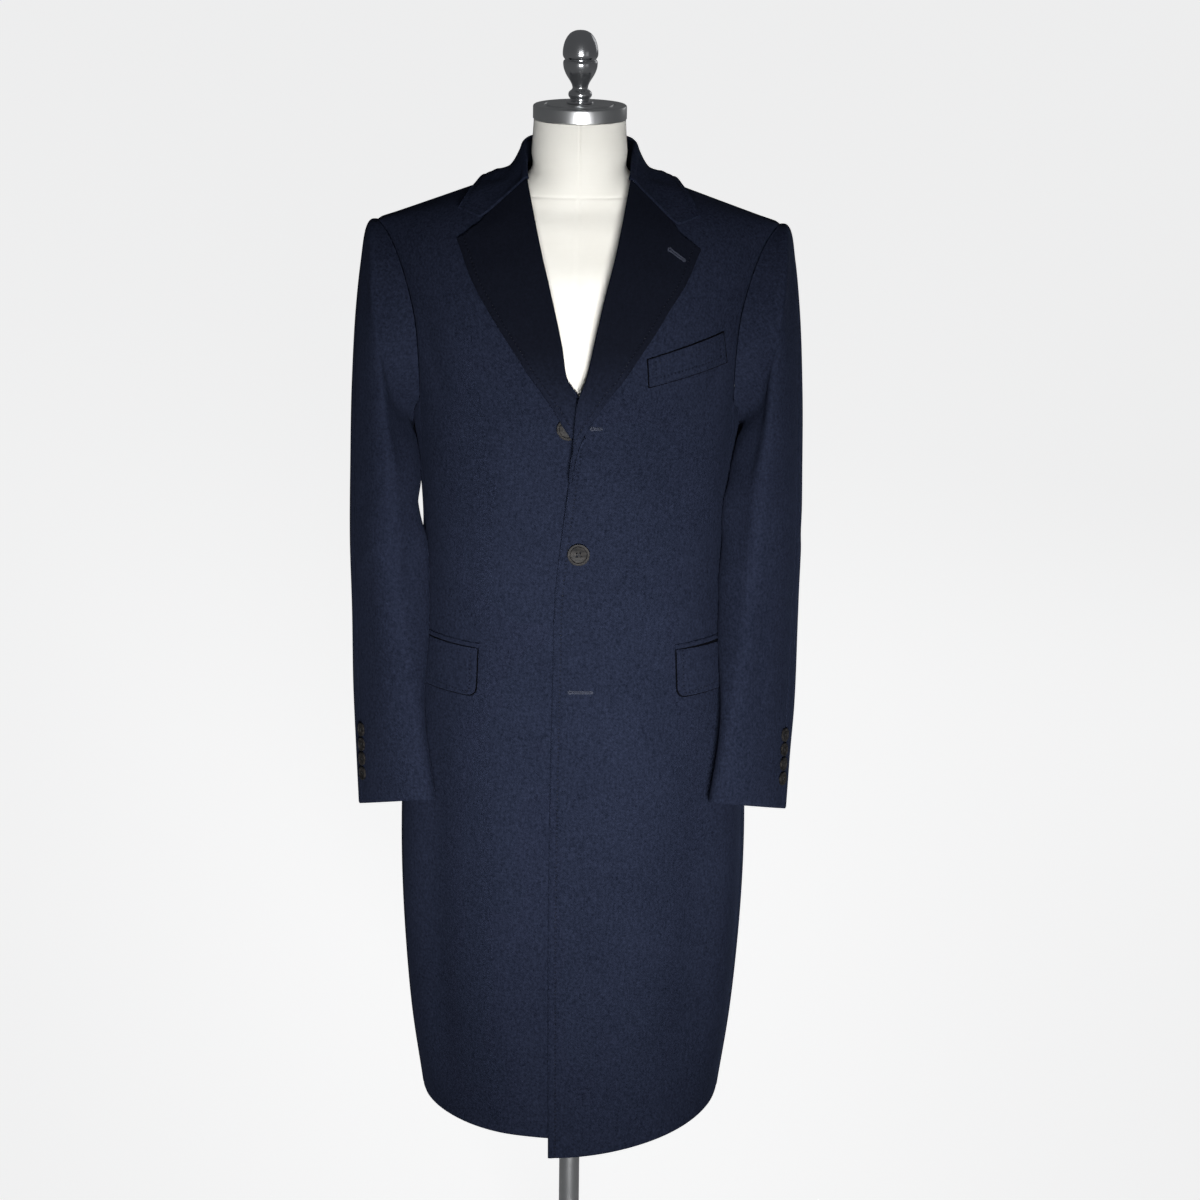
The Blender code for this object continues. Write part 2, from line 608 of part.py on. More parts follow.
def stand_grid():
    """The collar's stand: a band inside the fall, from the neckline up to just under the crest."""
    neckline = [*NECKLINE_BACK, (0.0645, -0.0200, 1.4830)]
    low = spline(neckline, np.linspace(0, len(neckline) - 1, COLLAR_ROWS - 2)) + (0.0, 0.0, 0.0012)
    high = neck_crest(COLLAR_ROWS)[:-2]
    high = np.array([p - away_from_neck(p) * 0.0002 + (0.0, 0.0, -0.0014) for p in high])
    half = np.array([low, (low + high) / 2, high])
    other = half[:, 1:] * np.array([-1.0, 1.0, 1.0])
    return np.concatenate([half[:, ::-1], other], axis=1)[:, ::-1]


def flap_grid(side):
    """A pocket flap, hung from the jetting over the front and side body, with round lower corners."""
    grid = []
    drops = (1.0, 0.93, 0.62, 0.30, 0.0)
    pull = (0.10, 0.022, 0.0, 0.0, 0.0)
    for drop, corner in zip(drops, pull):
        angles = np.linspace(*FLAP_ANGLES[side], FLAP_COLUMNS)
        angles += np.linspace(corner, -corner, FLAP_COLUMNS)
        z = FLAP_TOP_Z - FLAP_DROP * drop
        grid.append([section_point(a, z) for a in angles])
    return side_of(lifted(np.array(grid), 0.0034), side)


def jetting_grid(side):
    grid = []
    for z in (FLAP_TOP_Z + SEAM_GAP * 2, FLAP_TOP_Z + JETTING_HEIGHT):
        grid.append([section_point(a, z) for a in np.linspace(*FLAP_ANGLES[side], FLAP_COLUMNS)])
    return side_of(lifted(np.array(grid), 0.0030), side)


def lifted(grid, distance):
    return grid + normals_of(grid) * distance


def side_of(grid, side):
    return grid if side > 0 else mirrored(grid)


def welt_grid(ground):
    top_inner, top_outer, low_outer, low_inner = WELT_CORNERS
    grid = []
    for up in np.linspace(0, 1, 3):
        inner, outer = lerp(low_inner, top_inner, up), lerp(low_outer, top_outer, up)
        grid.append([ground.from_front(*lerp(inner, outer, share), 0.0034) for share in np.linspace(0, 1, 5)])
    return np.array(grid)


# ---------------------------------------------------------------- buttons
def button(name, radius, place, normal, segments=20):
    """A dished sew-through button with a rolled rim and a short thread shank, seated on the cloth."""
    face, back = radius * 0.16, -radius * 0.06
    profile = [
        (0.0, face * 0.60),
        (radius * 0.66, face * 0.60),
        (radius * 0.84, face),
        (radius, face * 0.35),
        (radius * 0.82, back),
        (radius * 0.22, back),
        (radius * 0.22, back - SHANK),
        (0.0, back - SHANK),
    ]
    made = turned(name, profile, segments, horn)
    normal = Vector(normal).normalized()
    upright = normal.to_track_quat("Z", "Y").to_matrix().to_4x4()
    made.matrix_world = Matrix.Translation(Vector(place) + normal * (SEAM_GAP + SHANK - back)) @ upright


def front_buttons(over_ground, under_ground):
    """The fastened middle button, and the two that are left open on the front beneath."""
    for key, ground, x in (("middle", over_ground, 0.0048), ("top", under_ground, -0.0085)):
        place = ground.from_front(x, BUTTON_Z[key], 0.0004)
        normal = ground.from_front(x, BUTTON_Z[key], 0.01) - place
        button(f"front_button_{key}", FRONT_BUTTON_RADIUS, place, normal)


def cuff_buttons(side, top_sleeve):
    """A row of buttons that nearly touch, beside the hind seam above the cuff."""
    fine = resampled(top_sleeve, 60, 40)
    normals = normals_of(fine)
    line, line_normals = (fine[:, -3], normals[:, -3]) if side > 0 else (fine[:, 2], normals[:, 2])
    lengths = np.concatenate([[0], np.cumsum(np.linalg.norm(np.diff(line, axis=0), axis=1))])
    for k in range(CUFF_BUTTONS):
        at = np.interp(CUFF_BUTTON_START + CUFF_BUTTON_PITCH * k, lengths, range(len(line)))
        place, normal = spline(line, [at])[0], spline(line_normals, [at])[0]
        button(f"cuff_button_{'left' if side > 0 else 'right'}_{k + 1}", CUFF_BUTTON_RADIUS, place, normal, 14)


# ---------------------------------------------------------------- the dress form
def form_ring(z, half_width, front, back, squareness):
    points = []
    for angle in np.linspace(0, 2 * math.pi, FORM_SEGMENTS, endpoint=False):
        depth = front if math.cos(angle) > 0 else back
        x = half_width * power(math.sin(angle), 2 / squareness)
        points.append((x, -depth * power(math.cos(angle), 2 / squareness), z))
    return points


def dress_form():
    """The padded torso: rings lofted from the hips to the top of the neck, closed at both ends."""
    mesh = bpy.data.meshes.new("form_torso")
    work = bmesh.new()
    rings = [[work.verts.new(p) for p in form_ring(*section)] for section in FORM_SECTIONS]
    for low, high in zip(rings, rings[1:]):
        for k in range(FORM_SEGMENTS):
            n = (k + 1) % FORM_SEGMENTS
            work.faces.new((low[k], low[n], high[n], high[k]))
    work.faces.new(rings[0][::-1])
    work.faces.new(rings[-1])
    bmesh.ops.recalc_face_normals(work, faces=work.faces)
    work.to_mesh(mesh)
    work.free()
    mesh.shade_smooth()
    mesh.set_sharp_from_angle(angle=math.radians(40))
    add_object("form_torso", mesh, cream)


def neck_plate():
    profile = [
        (0.0, CAP_TOP_Z),
        (CAP_RADIUS - 0.0020, CAP_TOP_Z),
        (CAP_RADIUS, CAP_TOP_Z - 0.0020),
        (CAP_RADIUS, CAP_BOTTOM_Z),
        (0.0, CAP_BOTTOM_Z),
    ]
    turned("form_neck_plate", profile, 40, steel)


def finial():
    """The turned knob on the neck plate: a flared foot, a bead, a waist, a cup and an egg."""
    base = CAP_TOP_Z + SEAM_GAP
    steps = (
        (0.0, 0.0820), (0.0065, 0.0810), (0.0125, 0.0775), (0.0172, 0.0705), (0.0196, 0.0620), (0.0200, 0.0540),
        (0.0182, 0.0500), (0.0176, 0.0490), (0.0194, 0.0465), (0.0190, 0.0400), (0.0162, 0.0325), (0.0110, 0.0240),
        (0.0090, 0.0190), (0.0092, 0.0160), (0.0128, 0.0125), (0.0132, 0.0085), (0.0112, 0.0045), (0.0150, 0.0020),
        (0.0152, 0.0), (0.0, 0.0),
    )
    turned("form_finial", [(radius, base + height) for radius, height in steps], 24, steel)


def stand():
    """A plain pole up into the torso, and a round foot with a raised socket."""
    socket_top = FOOT_HEIGHT + 0.040
    foot = [
        (0.0, FOOT_HEIGHT + 0.0060),
        (0.0180, FOOT_HEIGHT + 0.0060),
        (0.0300, FOOT_HEIGHT + 0.0040),
        (FOOT_RADIUS - 0.0080, FOOT_HEIGHT),
        (FOOT_RADIUS, FOOT_HEIGHT - 0.0060),
        (FOOT_RADIUS, 0.0),
        (0.0, 0.0),
    ]
    turned("stand_foot", foot, 48, steel)
    pole_bottom = FOOT_HEIGHT + 0.0060 + SEAM_GAP
    pole = [
        (0.0, FORM_BOTTOM_Z - 0.0120 - SEAM_GAP),
        (POLE_RADIUS, FORM_BOTTOM_Z - 0.0120 - SEAM_GAP),
        (POLE_RADIUS, socket_top),
        (POLE_RADIUS + 0.0060, socket_top - 0.0020),
        (POLE_RADIUS + 0.0060, pole_bottom),
        (0.0, pole_bottom),
    ]
    turned("stand_pole", pole, 20, steel)
    plate = [
        (0.0, FORM_BOTTOM_Z - SEAM_GAP),
        (0.0620, FORM_BOTTOM_Z - SEAM_GAP),
        (0.0620, FORM_BOTTOM_Z - 0.0060),
        (0.0220, FORM_BOTTOM_Z - 0.0120),
        (0.0, FORM_BOTTOM_Z - 0.0120),
    ]
    turned("form_base_plate", plate, 32, steel)


# ---------------------------------------------------------------- building
FRONT_COLUMNS = 9
BACK_COLUMNS = 9
SIDE_COLUMNS = 7
TOP_SLEEVE_COLUMNS = 11
UNDER_SLEEVE_COLUMNS = 11
LAPEL_COUNT = 5
LAPEL_ROWS = 13
COLLAR_COUNT = 5
FLAP_COLUMNS = 8
FORM_SEGMENTS = 32

for leftover in list(bpy.data.objects):
    bpy.data.objects.remove(leftover)
coat = bpy.data.collections.new("overcoat_on_form")
bpy.context.scene.collection.children.link(coat)
navy = material("navy_wool", NAVY, 0.85)
cream = material("form_linen", CREAM, 0.80)
steel = material("brushed_metal", STEEL, 0.30, metallic=1.0)
horn = material("dark_horn", HORN, 0.35)

over, under = front_grid(over=True), mirrored(front_grid(over=False))
back = back_grid()
side = side_grid()
shell = {"left": {"front": over, "back": back, "side": side}}
shell["right"] = {"front": under, "back": mirrored(back), "side": mirrored(side)}
for hand, pieces in shell.items():
    for piece, grid in pieces.items():
        cloth_wall(f"{piece}_{hand}", trimmed(grid))

top_sleeve = sleeve_grid(FORE_SEAM_DEG, HIND_SEAM_DEG, TOP_SLEEVE_COLUMNS)
under_sleeve = sleeve_grid(HIND_SEAM_DEG, [deg + 360 for deg in FORE_SEAM_DEG], UNDER_SLEEVE_COLUMNS)
for hand, sign in (("left", 1), ("right", -1)):
    top, lower = side_of(top_sleeve, sign), side_of(under_sleeve, sign)
    cloth_wall(f"top_sleeve_{hand}", trimmed(top, 0.0004), tuck=0.0026)
    cloth_wall(f"under_sleeve_{hand}", trimmed(lower, 0.0004), tuck=0.0026)
    cuff_buttons(sign, top)

over_ground, under_ground = Ground(over), Ground(under)
shoulders = Ground(over, under, back, mirrored(back))
cloth_wall("lapel_left", lapel_grid(over_ground, LAPEL_OVER, 1.0), TURNED_CLOTH)
cloth_wall("lapel_right", lapel_grid(under_ground, LAPEL_UNDER, -1.0), TURNED_CLOTH)
cloth_wall("collar_fall", collar_grid(shoulders), TURNED_CLOTH)
cloth_wall("collar_stand", stand_grid(), TRIM_CLOTH)
for hand, sign in (("left", 1), ("right", -1)):
    cloth_wall(f"pocket_flap_{hand}", flap_grid(sign), TRIM_CLOTH)
    cloth_wall(f"pocket_jetting_{hand}", jetting_grid(sign), TRIM_CLOTH)
cloth_wall("breast_welt", welt_grid(over_ground), TRIM_CLOTH)
front_buttons(over_ground, under_ground)
dress_form()
neck_plate()
finial()
stand()
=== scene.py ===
"""A single-breasted navy wool overcoat buttoned on a limbless dress form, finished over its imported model.

Metres, +Z up, the front of the coat faces -Y and the wearer's left is +X. Every cut piece of the coat
is a thin shell of cloth read finely from nearly the same rows of points as its solid, with its seams,
turned edges and soft folds pressed into it.
"""

from __future__ import annotations

import json
import logging
import math
from dataclasses import dataclass, field
from enum import Enum
from typing import Callable, Sequence

import bpy
import numpy as np
from mathutils import Matrix, Vector
from mathutils.bvhtree import BVHTree

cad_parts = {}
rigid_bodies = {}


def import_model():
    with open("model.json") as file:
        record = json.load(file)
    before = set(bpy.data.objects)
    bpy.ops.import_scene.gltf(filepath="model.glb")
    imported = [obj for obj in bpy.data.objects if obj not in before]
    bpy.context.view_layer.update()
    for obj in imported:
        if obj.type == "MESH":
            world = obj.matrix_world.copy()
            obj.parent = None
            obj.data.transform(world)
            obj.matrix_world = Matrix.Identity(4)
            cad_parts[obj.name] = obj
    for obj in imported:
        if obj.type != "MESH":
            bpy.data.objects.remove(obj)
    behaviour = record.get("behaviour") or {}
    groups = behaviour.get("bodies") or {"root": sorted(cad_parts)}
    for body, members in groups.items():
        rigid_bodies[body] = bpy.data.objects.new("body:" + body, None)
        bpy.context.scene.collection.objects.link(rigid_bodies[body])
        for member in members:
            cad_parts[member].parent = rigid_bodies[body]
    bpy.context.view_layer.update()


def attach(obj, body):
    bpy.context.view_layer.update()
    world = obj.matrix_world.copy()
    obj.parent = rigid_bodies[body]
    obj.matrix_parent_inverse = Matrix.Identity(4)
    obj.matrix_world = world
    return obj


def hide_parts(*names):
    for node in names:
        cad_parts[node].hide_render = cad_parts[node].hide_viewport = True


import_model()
LOG = logging.getLogger("overcoat")

# ---------------------------------------------------------------- sizes of the cloth
SEAM_GAP = 0.0003
CLOTH = 0.0022
TURNED_CLOTH = 0.0024
TRIM_CLOTH = 0.0016
GRID_SPACING = 0.0042
STITCH_INSET = 0.0085
STITCH_PITCH = 0.0046
EDGE_STEPS = (0.0, 0.0007, 0.0016, 0.0028, 0.0044, 0.0060, 0.0073, 0.0085, 0.0097, 0.0112, 0.0140)

OVER_DROP = 0.024
BUTTON_Z = {"top": 1.2185, "middle": 1.0735, "bottom": 0.9120}
FOOT_RADIUS = 0.200
FOOT_HEIGHT = 0.014
POLE_RADIUS = 0.0125
FORM_BOTTOM_Z = 0.840
CAP_RADIUS = 0.0532
CAP_BOTTOM_Z = 1.5453
CAP_TOP_Z = 1.5625

# ---------------------------------------------------------------- rows of the coat
SECTION_COLUMNS = ("z", "half_width", "front", "back", "squareness", "front_seam", "back_seam")
SECTIONS = (
    (0.330, 0.1800, 0.1790, 0.1700, 2.00, 82, 122),
    (0.363, 0.1815, 0.1780, 0.1690, 2.00, 82, 122),
    (0.466, 0.1945, 0.1730, 0.1660, 2.00, 82, 122),
    (0.600, 0.2035, 0.1680, 0.1620, 2.00, 82, 122),
    (0.720, 0.2045, 0.1620, 0.1580, 2.02, 82, 122),
    (0.840, 0.1970, 0.1560, 0.1520, 2.05, 82, 122),
    (0.950, 0.1880, 0.1490, 0.1420, 2.10, 82, 121),
    (1.015, 0.1825, 0.1445, 0.1330, 2.15, 81, 120),
    (1.080, 0.1785, 0.1430, 0.1270, 2.20, 79, 119),
    (1.160, 0.1840, 0.1460, 0.1300, 2.20, 74, 118),
    (1.235, 0.1930, 0.1500, 0.1360, 2.20, 68, 116),
)
LOWER_ROWS = (0.363, 0.466, 0.600, 0.720, 0.840, 0.950, 1.015, 1.080, 1.160)
EDGE_COLUMNS = ("z", "over_x", "under_x", "over_proud", "under_sunk")
FRONT_EDGE = (
    (0.330, -0.0240, 0.0240, 0.0008, 0.0044),
    (0.660, -0.0260, 0.0240, 0.0008, 0.0034),
    (0.917, -0.0235, 0.0240, 0.0008, 0.0032),
    (1.053, -0.0195, 0.0240, 0.0008, 0.0034),
    (1.096, -0.0140, 0.0240, 0.0012, 0.0040),
    (1.150, -0.0076, 0.0230, 0.0040, 0.0050),
    (1.175, -0.0040, 0.0215, 0.0055, 0.0055),
    (1.205, 0.0000, 0.0190, 0.0060, 0.0060),
    (1.235, 0.0035, 0.0130, 0.0060, 0.0060),
    (1.265, 0.0105, 0.0070, 0.0050, 0.0050),
)
BREAK_TOP_Z = 1.265
FRONT_UPPER = (
    ((0.0060, -0.1500, 1.2350), (0.1800, -0.0600, 1.2350), 66),
    ((0.0160, -0.1490, 1.2850), (0.1805, -0.0720, 1.2800), 60),
    ((0.0274, -0.1400, 1.3400), (0.1860, -0.0690, 1.3350), 55),
    ((0.0404, -0.1215, 1.3920), (0.1990, -0.0530, 1.3810), 50),
    ((0.0524, -0.0920, 1.4400), (0.2130, -0.0310, 1.4110), 42),
    ((0.0604, -0.0500, 1.4745), (0.2260, -0.0080, 1.4265), 30),
    ((0.0670, 0.0060, 1.4885), (0.2310, 0.0080, 1.4285), 20),
)
UNDER_ROLL_SHIFT = -0.0015
BACK_UPPER = (
    ((0.0, 0.1360, 1.2350), (0.1830, 0.0640, 1.2350), 64),
    ((0.0, 0.1400, 1.2850), (0.1830, 0.0840, 1.2800), 60),
    ((0.0, 0.1370, 1.3400), (0.1880, 0.0860, 1.3350), 55),
    ((0.0, 0.1270, 1.3900), (0.2010, 0.0700, 1.3810), 50),
    ((0.0, 0.1100, 1.4300), (0.2150, 0.0480, 1.4110), 42),
    ((0.0, 0.0880, 1.4620), (0.2270, 0.0250, 1.4265), 30),
)
NECK_POINT = (0.0670, 0.0060, 1.4885)
NECKLINE_BACK = ((0.0, 0.0690, 1.4800), (0.0400, 0.0580, 1.4830), (0.0600, 0.0330, 1.4870), NECK_POINT)
SHOULDER_TIP = (0.2310, 0.0080, 1.4285)
UNDERARM_POINT = (0.1895, 0.0000, 1.2050)

# Rings of the sleeve: centre, half width, half depth, turn, lift of its outer side and of its front.
SLEEVE_RINGS = (
    ((0.2190, 0.0060, 1.3060), 0.0215, 0.0880, 0, 0.1180, 0.000),
    ((0.2235, 0.0040, 1.2730), 0.0255, 0.0905, 2, 0.1140, 0.000),
    ((0.2245, -0.0020, 1.2250), 0.0315, 0.0890, 5, 0.0950, 0.000),
    ((0.2235, -0.0110, 1.1680), 0.0365, 0.0850, 9, 0.0660, 0.000),
    ((0.2240, -0.0180, 1.1050), 0.0370, 0.0800, 13, 0.0380, 0.002),
    ((0.2245, -0.0260, 1.0350), 0.0355, 0.0750, 18, 0.0200, 0.004),
    ((0.2225, -0.0400, 0.9620), 0.0300, 0.0700, 26, 0.0080, 0.006),
    ((0.2190, -0.0580, 0.8870), 0.0260, 0.0640, 35, 0.0040, 0.010),
    ((0.2125, -0.0760, 0.8200), 0.0260, 0.0600, 42, 0.0050, 0.014),
    ((0.2055, -0.0900, 0.7550), 0.0270, 0.0590, 48, 0.0055, 0.017),
)
# Between these heights the sleeve's inner side rests on the coat, fading in over these lengths.
RESTS_FROM_Z, RESTS_TO_Z = 0.86, 1.225
RESTS_FADE_LOW, RESTS_FADE_HIGH = 0.10, 0.03
RESTING_GAP = 0.0012
# Cloth that faces the coat less than this stays, and rests fully from this much more.
FACING_LEAST, FACING_MORE = 0.05, 0.45
# Cloth farther than the first of these from the coat doesn't reach it; nearer than their difference, it does.
REST_REACH, REST_REACH_FADE = 0.036, 0.016
# The gap left at the wearer's right waist: its height, half of its length and how far it opens.
WAIST_GAP_Z, WAIST_GAP_SPREAD, WAIST_GAP_SHARE = 1.105, 0.022, 0.95
SETTLING_ROUNDS = 60
HIND_SEAM_DEG = (118, 104, 90, 79, 76, 80, 88, 102, 113, 122, 131)
FORE_SEAM_DEG = (-62, -68, -72, -76, -78, -76, -68, -56, -46, -40, -37)

# The crest of the fold up each lapel and round the neck.
CREST = (
    (0.0110, -0.1540, 1.2800),
    (0.0240, -0.1460, 1.3400),
    (0.0370, -0.1280, 1.3920),
    (0.0490, -0.0990, 1.4400),
    (0.0550, -0.0730, 1.4680),
    (0.0575, -0.0540, 1.4860),
    (0.0575, -0.0370, 1.4960),
    (0.0585, -0.0170, 1.5055),
    (0.0605, 0.0080, 1.5140),
    (0.0560, 0.0320, 1.5180),
    (0.0360, 0.0540, 1.5190),
    (0.0000, 0.0640, 1.5190),
)
CREST_GORGE = 5
LAPEL_OVER = (
    ((-0.0062, 1.1600), (-0.0040, 1.1640), 0.0050),
    ((-0.0035, 1.2050), (0.0072, 1.2080), 0.0052),
    ((0.0008, 1.2500), (0.0330, 1.2500), 0.0050),
    ((0.0110, 1.2800), (0.0550, 1.2790), 0.0048),
    ((0.0185, 1.3150), (0.0745, 1.3080), 0.0046),
    ((0.0300, 1.3650), (0.1005, 1.3480), 0.0048),
    ((0.0430, 1.4160), (0.1225, 1.3830), 0.0066),
)
LAPEL_UNDER = (
    ((0.0170, 1.1850), (0.0040, 1.1960), 0.0072),
    ((0.0100, 1.2220), (-0.0125, 1.2190), 0.0074),
    ((0.0010, 1.2530), (-0.0330, 1.2530), 0.0060),
    ((-0.0100, 1.2800), (-0.0530, 1.2800), 0.0048),
    ((-0.0155, 1.3150), (-0.0750, 1.3130), 0.0046),
    ((-0.0270, 1.3650), (-0.1010, 1.3520), 0.0046),
    ((-0.0402, 1.4160), (-0.1205, 1.3880), 0.0064),
)
# Where the collar meets the lapel, on the wearer's left, 1, and right, -1, as (x, z).
NOTCH = {1: (0.1100, 1.4320), -1: (0.1080, 1.4370)}
LAPEL_POINT = {1: (0.1360, 1.4125), -1: (0.1340, 1.4210)}
COLLAR_CORNER = {1: (0.1345, 1.4385), -1: (0.1330, 1.4440)}
NOTCH_OPENING = 0.0036
NOTCH_SHARE = 0.62
# The collar covers the lapel's top edge up to this share of the way to the notch, then parts from it.
GORGE_PARTS = 0.82
COLLAR_LIFT = 0.0054
COLLAR_FRONT_LIFT = 0.0066
COLLAR_EDGE = (
    (0.0000, 0.1180, 1.4500),
    (0.0400, 0.1140, 1.4520),
    (0.0720, 0.0940, 1.4590),
    (0.0920, 0.0620, 1.4680),
    (0.1050, 0.0260, 1.4730),
    (0.1160, -0.0100, 1.4690),
    (0.1270, -0.0420, 1.4590),
)
COLLAR_ROWS = 9

FLAP_TOP_Z = 0.9550
FLAP_DROP = 0.0570
FLAP_ANGLES_DEG = {1: (37.5, 84.0), -1: (34.5, 84.0)}
FLAP_CORNER = 0.012
JETTING_HEIGHT = 0.0060
WELT_CORNERS = ((0.0790, 1.2990), (0.1630, 1.3206), (0.1680, 1.2855), (0.0810, 1.2680))
WELT_SIZE = (0.0870, 0.0330)
FLAP_LIFT = 0.0034
WELT_LIFT = 0.0036
# A dark strip under a flap or the welt shows this far beyond it, as its shadow line.
SHADOW_SHOWS = 0.0011
MOUTH_WALL = 0.0008
UNDER_FLAP_WALL = 0.0006

# The form: half width, front depth, back depth, squareness at each height.
FORM_COLUMNS = ("z", "half_width", "front", "back", "squareness")
FORM_SECTIONS = (
    (0.8400, 0.1600, 0.1120, 0.1120, 2.1),
    (0.9000, 0.1660, 0.1160, 0.1180, 2.1),
    (0.9800, 0.1580, 0.1120, 0.1100, 2.1),
    (1.0800, 0.1450, 0.1080, 0.0980, 2.1),
    (1.1800, 0.1560, 0.1240, 0.1080, 2.2),
    (1.2600, 0.1650, 0.1330, 0.1220, 2.2),
    (1.3300, 0.1680, 0.1220, 0.1240, 2.2),
    (1.3800, 0.1750, 0.1060, 0.1120, 2.2),
    (1.4080, 0.1840, 0.0880, 0.0960, 2.1),
    (1.4366, 0.1600, 0.0720, 0.0800, 2.0),
    (1.4506, 0.1290, 0.0620, 0.0700, 2.0),
    (1.4646, 0.0920, 0.0580, 0.0640, 2.0),
    (1.4772, 0.0680, 0.0560, 0.0600, 2.0),
    (1.4860, 0.0570, 0.0550, 0.0570, 2.0),
    (1.5100, 0.0545, 0.0540, 0.0545, 2.0),
    (1.5450, 0.0522, 0.0522, 0.0522, 2.0),
)
NECK_SEAM_Z = 1.4640


# ---------------------------------------------------------------- reading rows
def column(table: Sequence[Sequence[float]], columns: Sequence[str], name: str) -> np.ndarray:
    """One named column of a table."""
    return np.array([row[columns.index(name)] for row in table], float)


def lerp(a: Sequence[float], b: Sequence[float], share: float) -> np.ndarray:
    """The point that share of the way from a to b."""
    return np.asarray(a, float) + (np.asarray(b, float) - np.asarray(a, float)) * share


def power(value: float, exponent: float) -> float:
    """A signed power, for ovals that are squarer than an ellipse."""
    return math.copysign(abs(value) ** exponent, value)


def unit(vectors: np.ndarray) -> np.ndarray:
    """The vectors at length one."""
    return vectors / np.maximum(np.linalg.norm(vectors, axis=-1, keepdims=True), 1e-12)


def smooth_read(at: float, places: np.ndarray, values: np.ndarray) -> float:
    """A value between table rows, on a curve with no kinks.

    Args:
        at: Where to read.
        places: The rows' places, rising.
        values: The rows' values.

    Returns:
        The value there.
    """
    k = int(np.clip(np.searchsorted(places, at) - 1, 0, len(places) - 2))
    span = places[k + 1] - places[k]
    t = float(np.clip((at - places[k]) / span, 0, 1))
    slopes = np.gradient(values, places)
    start = (2 * t**3 - 3 * t**2 + 1) * values[k] + (t**3 - 2 * t**2 + t) * span * slopes[k]
    return start + (-2 * t**3 + 3 * t**2) * values[k + 1] + (t**3 - t**2) * span * slopes[k + 1]


def section_at(z: float) -> list[float]:
    """The coat's section at a height, without the height itself."""
    heights = column(SECTIONS, SECTION_COLUMNS, "z")
    return [smooth_read(z, heights, column(SECTIONS, SECTION_COLUMNS, name)) for name in SECTION_COLUMNS[1:]]


def section_point(angle: float, z: float) -> np.ndarray:
    """A point on the coat's section; the angle runs from the centre front round the wearer's left."""
    half_width, front, back, squareness = section_at(z)[:4]
    depth = front if math.cos(angle) > 0 else back
    x = half_width * power(math.sin(angle), 2 / squareness)
    return np.array([x, -depth * power(math.cos(angle), 2 / squareness), z])


def bent_row(start, end, start_angle: float, end_angle: float, squareness: float, count: int) -> np.ndarray:
    """A row of points from start to end along part of an oval.

    Args:
        start: First point.
        end: Last point.
        start_angle: The oval's angle at start, in radians.
        end_angle: The oval's angle at end.
        squareness: The oval's exponent.
        count: How many points.

    Returns:
        The points, count by 3.
    """
    angles = np.linspace(start_angle, end_angle, count)
    along = np.array([power(math.sin(a), 2 / squareness) for a in angles])
    across = np.array([power(math.cos(a), 2 / squareness) for a in angles])
    along = (along - along[0]) / (along[-1] - along[0])
    across = (across - across[0]) / (across[-1] - across[0])
    shares = np.stack([along, across, along], axis=1)
    return np.asarray(start, float) + (np.asarray(end, float) - np.asarray(start, float)) * shares


def spline(points: Sequence, places: Sequence[float]) -> np.ndarray:
    """Points of a Catmull-Rom curve.

    Args:
        points: The points that it passes through, or rows of points.
        places: Where to read it, counting the points from 0.

    Returns:
        One point, or row of points, for each place.
    """
    points = np.asarray(points, float)
    padded = np.concatenate([[2 * points[0] - points[1]], points, [2 * points[-1] - points[-2]]])
    places = np.clip(np.asarray(places, float), 0, len(points) - 1)
    k = np.clip(np.floor(places).astype(int), 0, len(points) - 2)
    t = (places - k).reshape(-1, *([1] * (points.ndim - 1)))
    a, b, c, d = (padded[k + i] for i in range(4))
    bend = (2 * a - 5 * b + 4 * c - d) * t**2 + (3 * b - a - 3 * c + d) * t**3
    return 0.5 * (2 * b + (c - a) * t + bend)


def read_grid(grid: np.ndarray, row_places: Sequence[float], column_places: Sequence[float]) -> np.ndarray:
    """The grid read smoothly at these rows and columns."""
    across = spline(spline(grid, row_places).transpose(1, 0, 2), column_places)
    return across.transpose(1, 0, 2)


def normals_of(grid: np.ndarray) -> np.ndarray:
    """Unit normals of a grid whose rows run up and whose columns run to the right, seen from outside."""
    return unit(np.cross(np.gradient(grid, axis=1), np.gradient(grid, axis=0)))


def mirrored(grid: np.ndarray) -> np.ndarray:
    """The grid for the wearer's other side, turned so that its normals still point out."""
    return (grid * np.array([-1.0, 1.0, 1.0]))[:, ::-1]


def side_of(grid: np.ndarray, side: int) -> np.ndarray:
    """The grid as it is on the wearer's left, 1, or mirrored for the right, -1."""
    return grid if side > 0 else mirrored(grid)


def along_rows(grid: np.ndarray) -> np.ndarray:
    """How far along its row each point is, in metres."""
    steps = np.linalg.norm(np.diff(grid, axis=1), axis=2)
    return np.concatenate([np.zeros((len(grid), 1)), np.cumsum(steps, axis=1)], axis=1)


def along_columns(grid: np.ndarray) -> np.ndarray:
    """How far up its column each point is, in metres."""
    return along_rows(grid.transpose(1, 0, 2)).T


def stations(length: float, spacing: float) -> np.ndarray:
    """Places from 0 to length, closer together near both ends, where a turned edge is rounded."""
    steps = np.array([step for step in EDGE_STEPS if step < 0.4 * length])
    count = max(2, round((length - 2 * steps[-1]) / spacing))
    middle = np.linspace(steps[-1], length - steps[-1], count + 1)[1:-1]
    return np.concatenate([steps, middle, length - steps[::-1]])


def refined(grid: np.ndarray, spacing: float = GRID_SPACING) -> np.ndarray:
    """The grid with rows and columns about this far apart, closer near its borders."""
    places = []
    for lengths in (along_columns(grid).mean(axis=1), along_rows(grid).mean(axis=0)):
        places.append(np.interp(stations(lengths[-1], spacing), lengths, np.arange(len(lengths))))
    return read_grid(grid, *places)


# ---------------------------------------------------------------- selecting and modelling
def deselect_all() -> None:
    """Leaves nothing selected, so that an operator acts only on what is picked next."""
    for other in bpy.context.view_layer.objects:
        other.select_set(False)


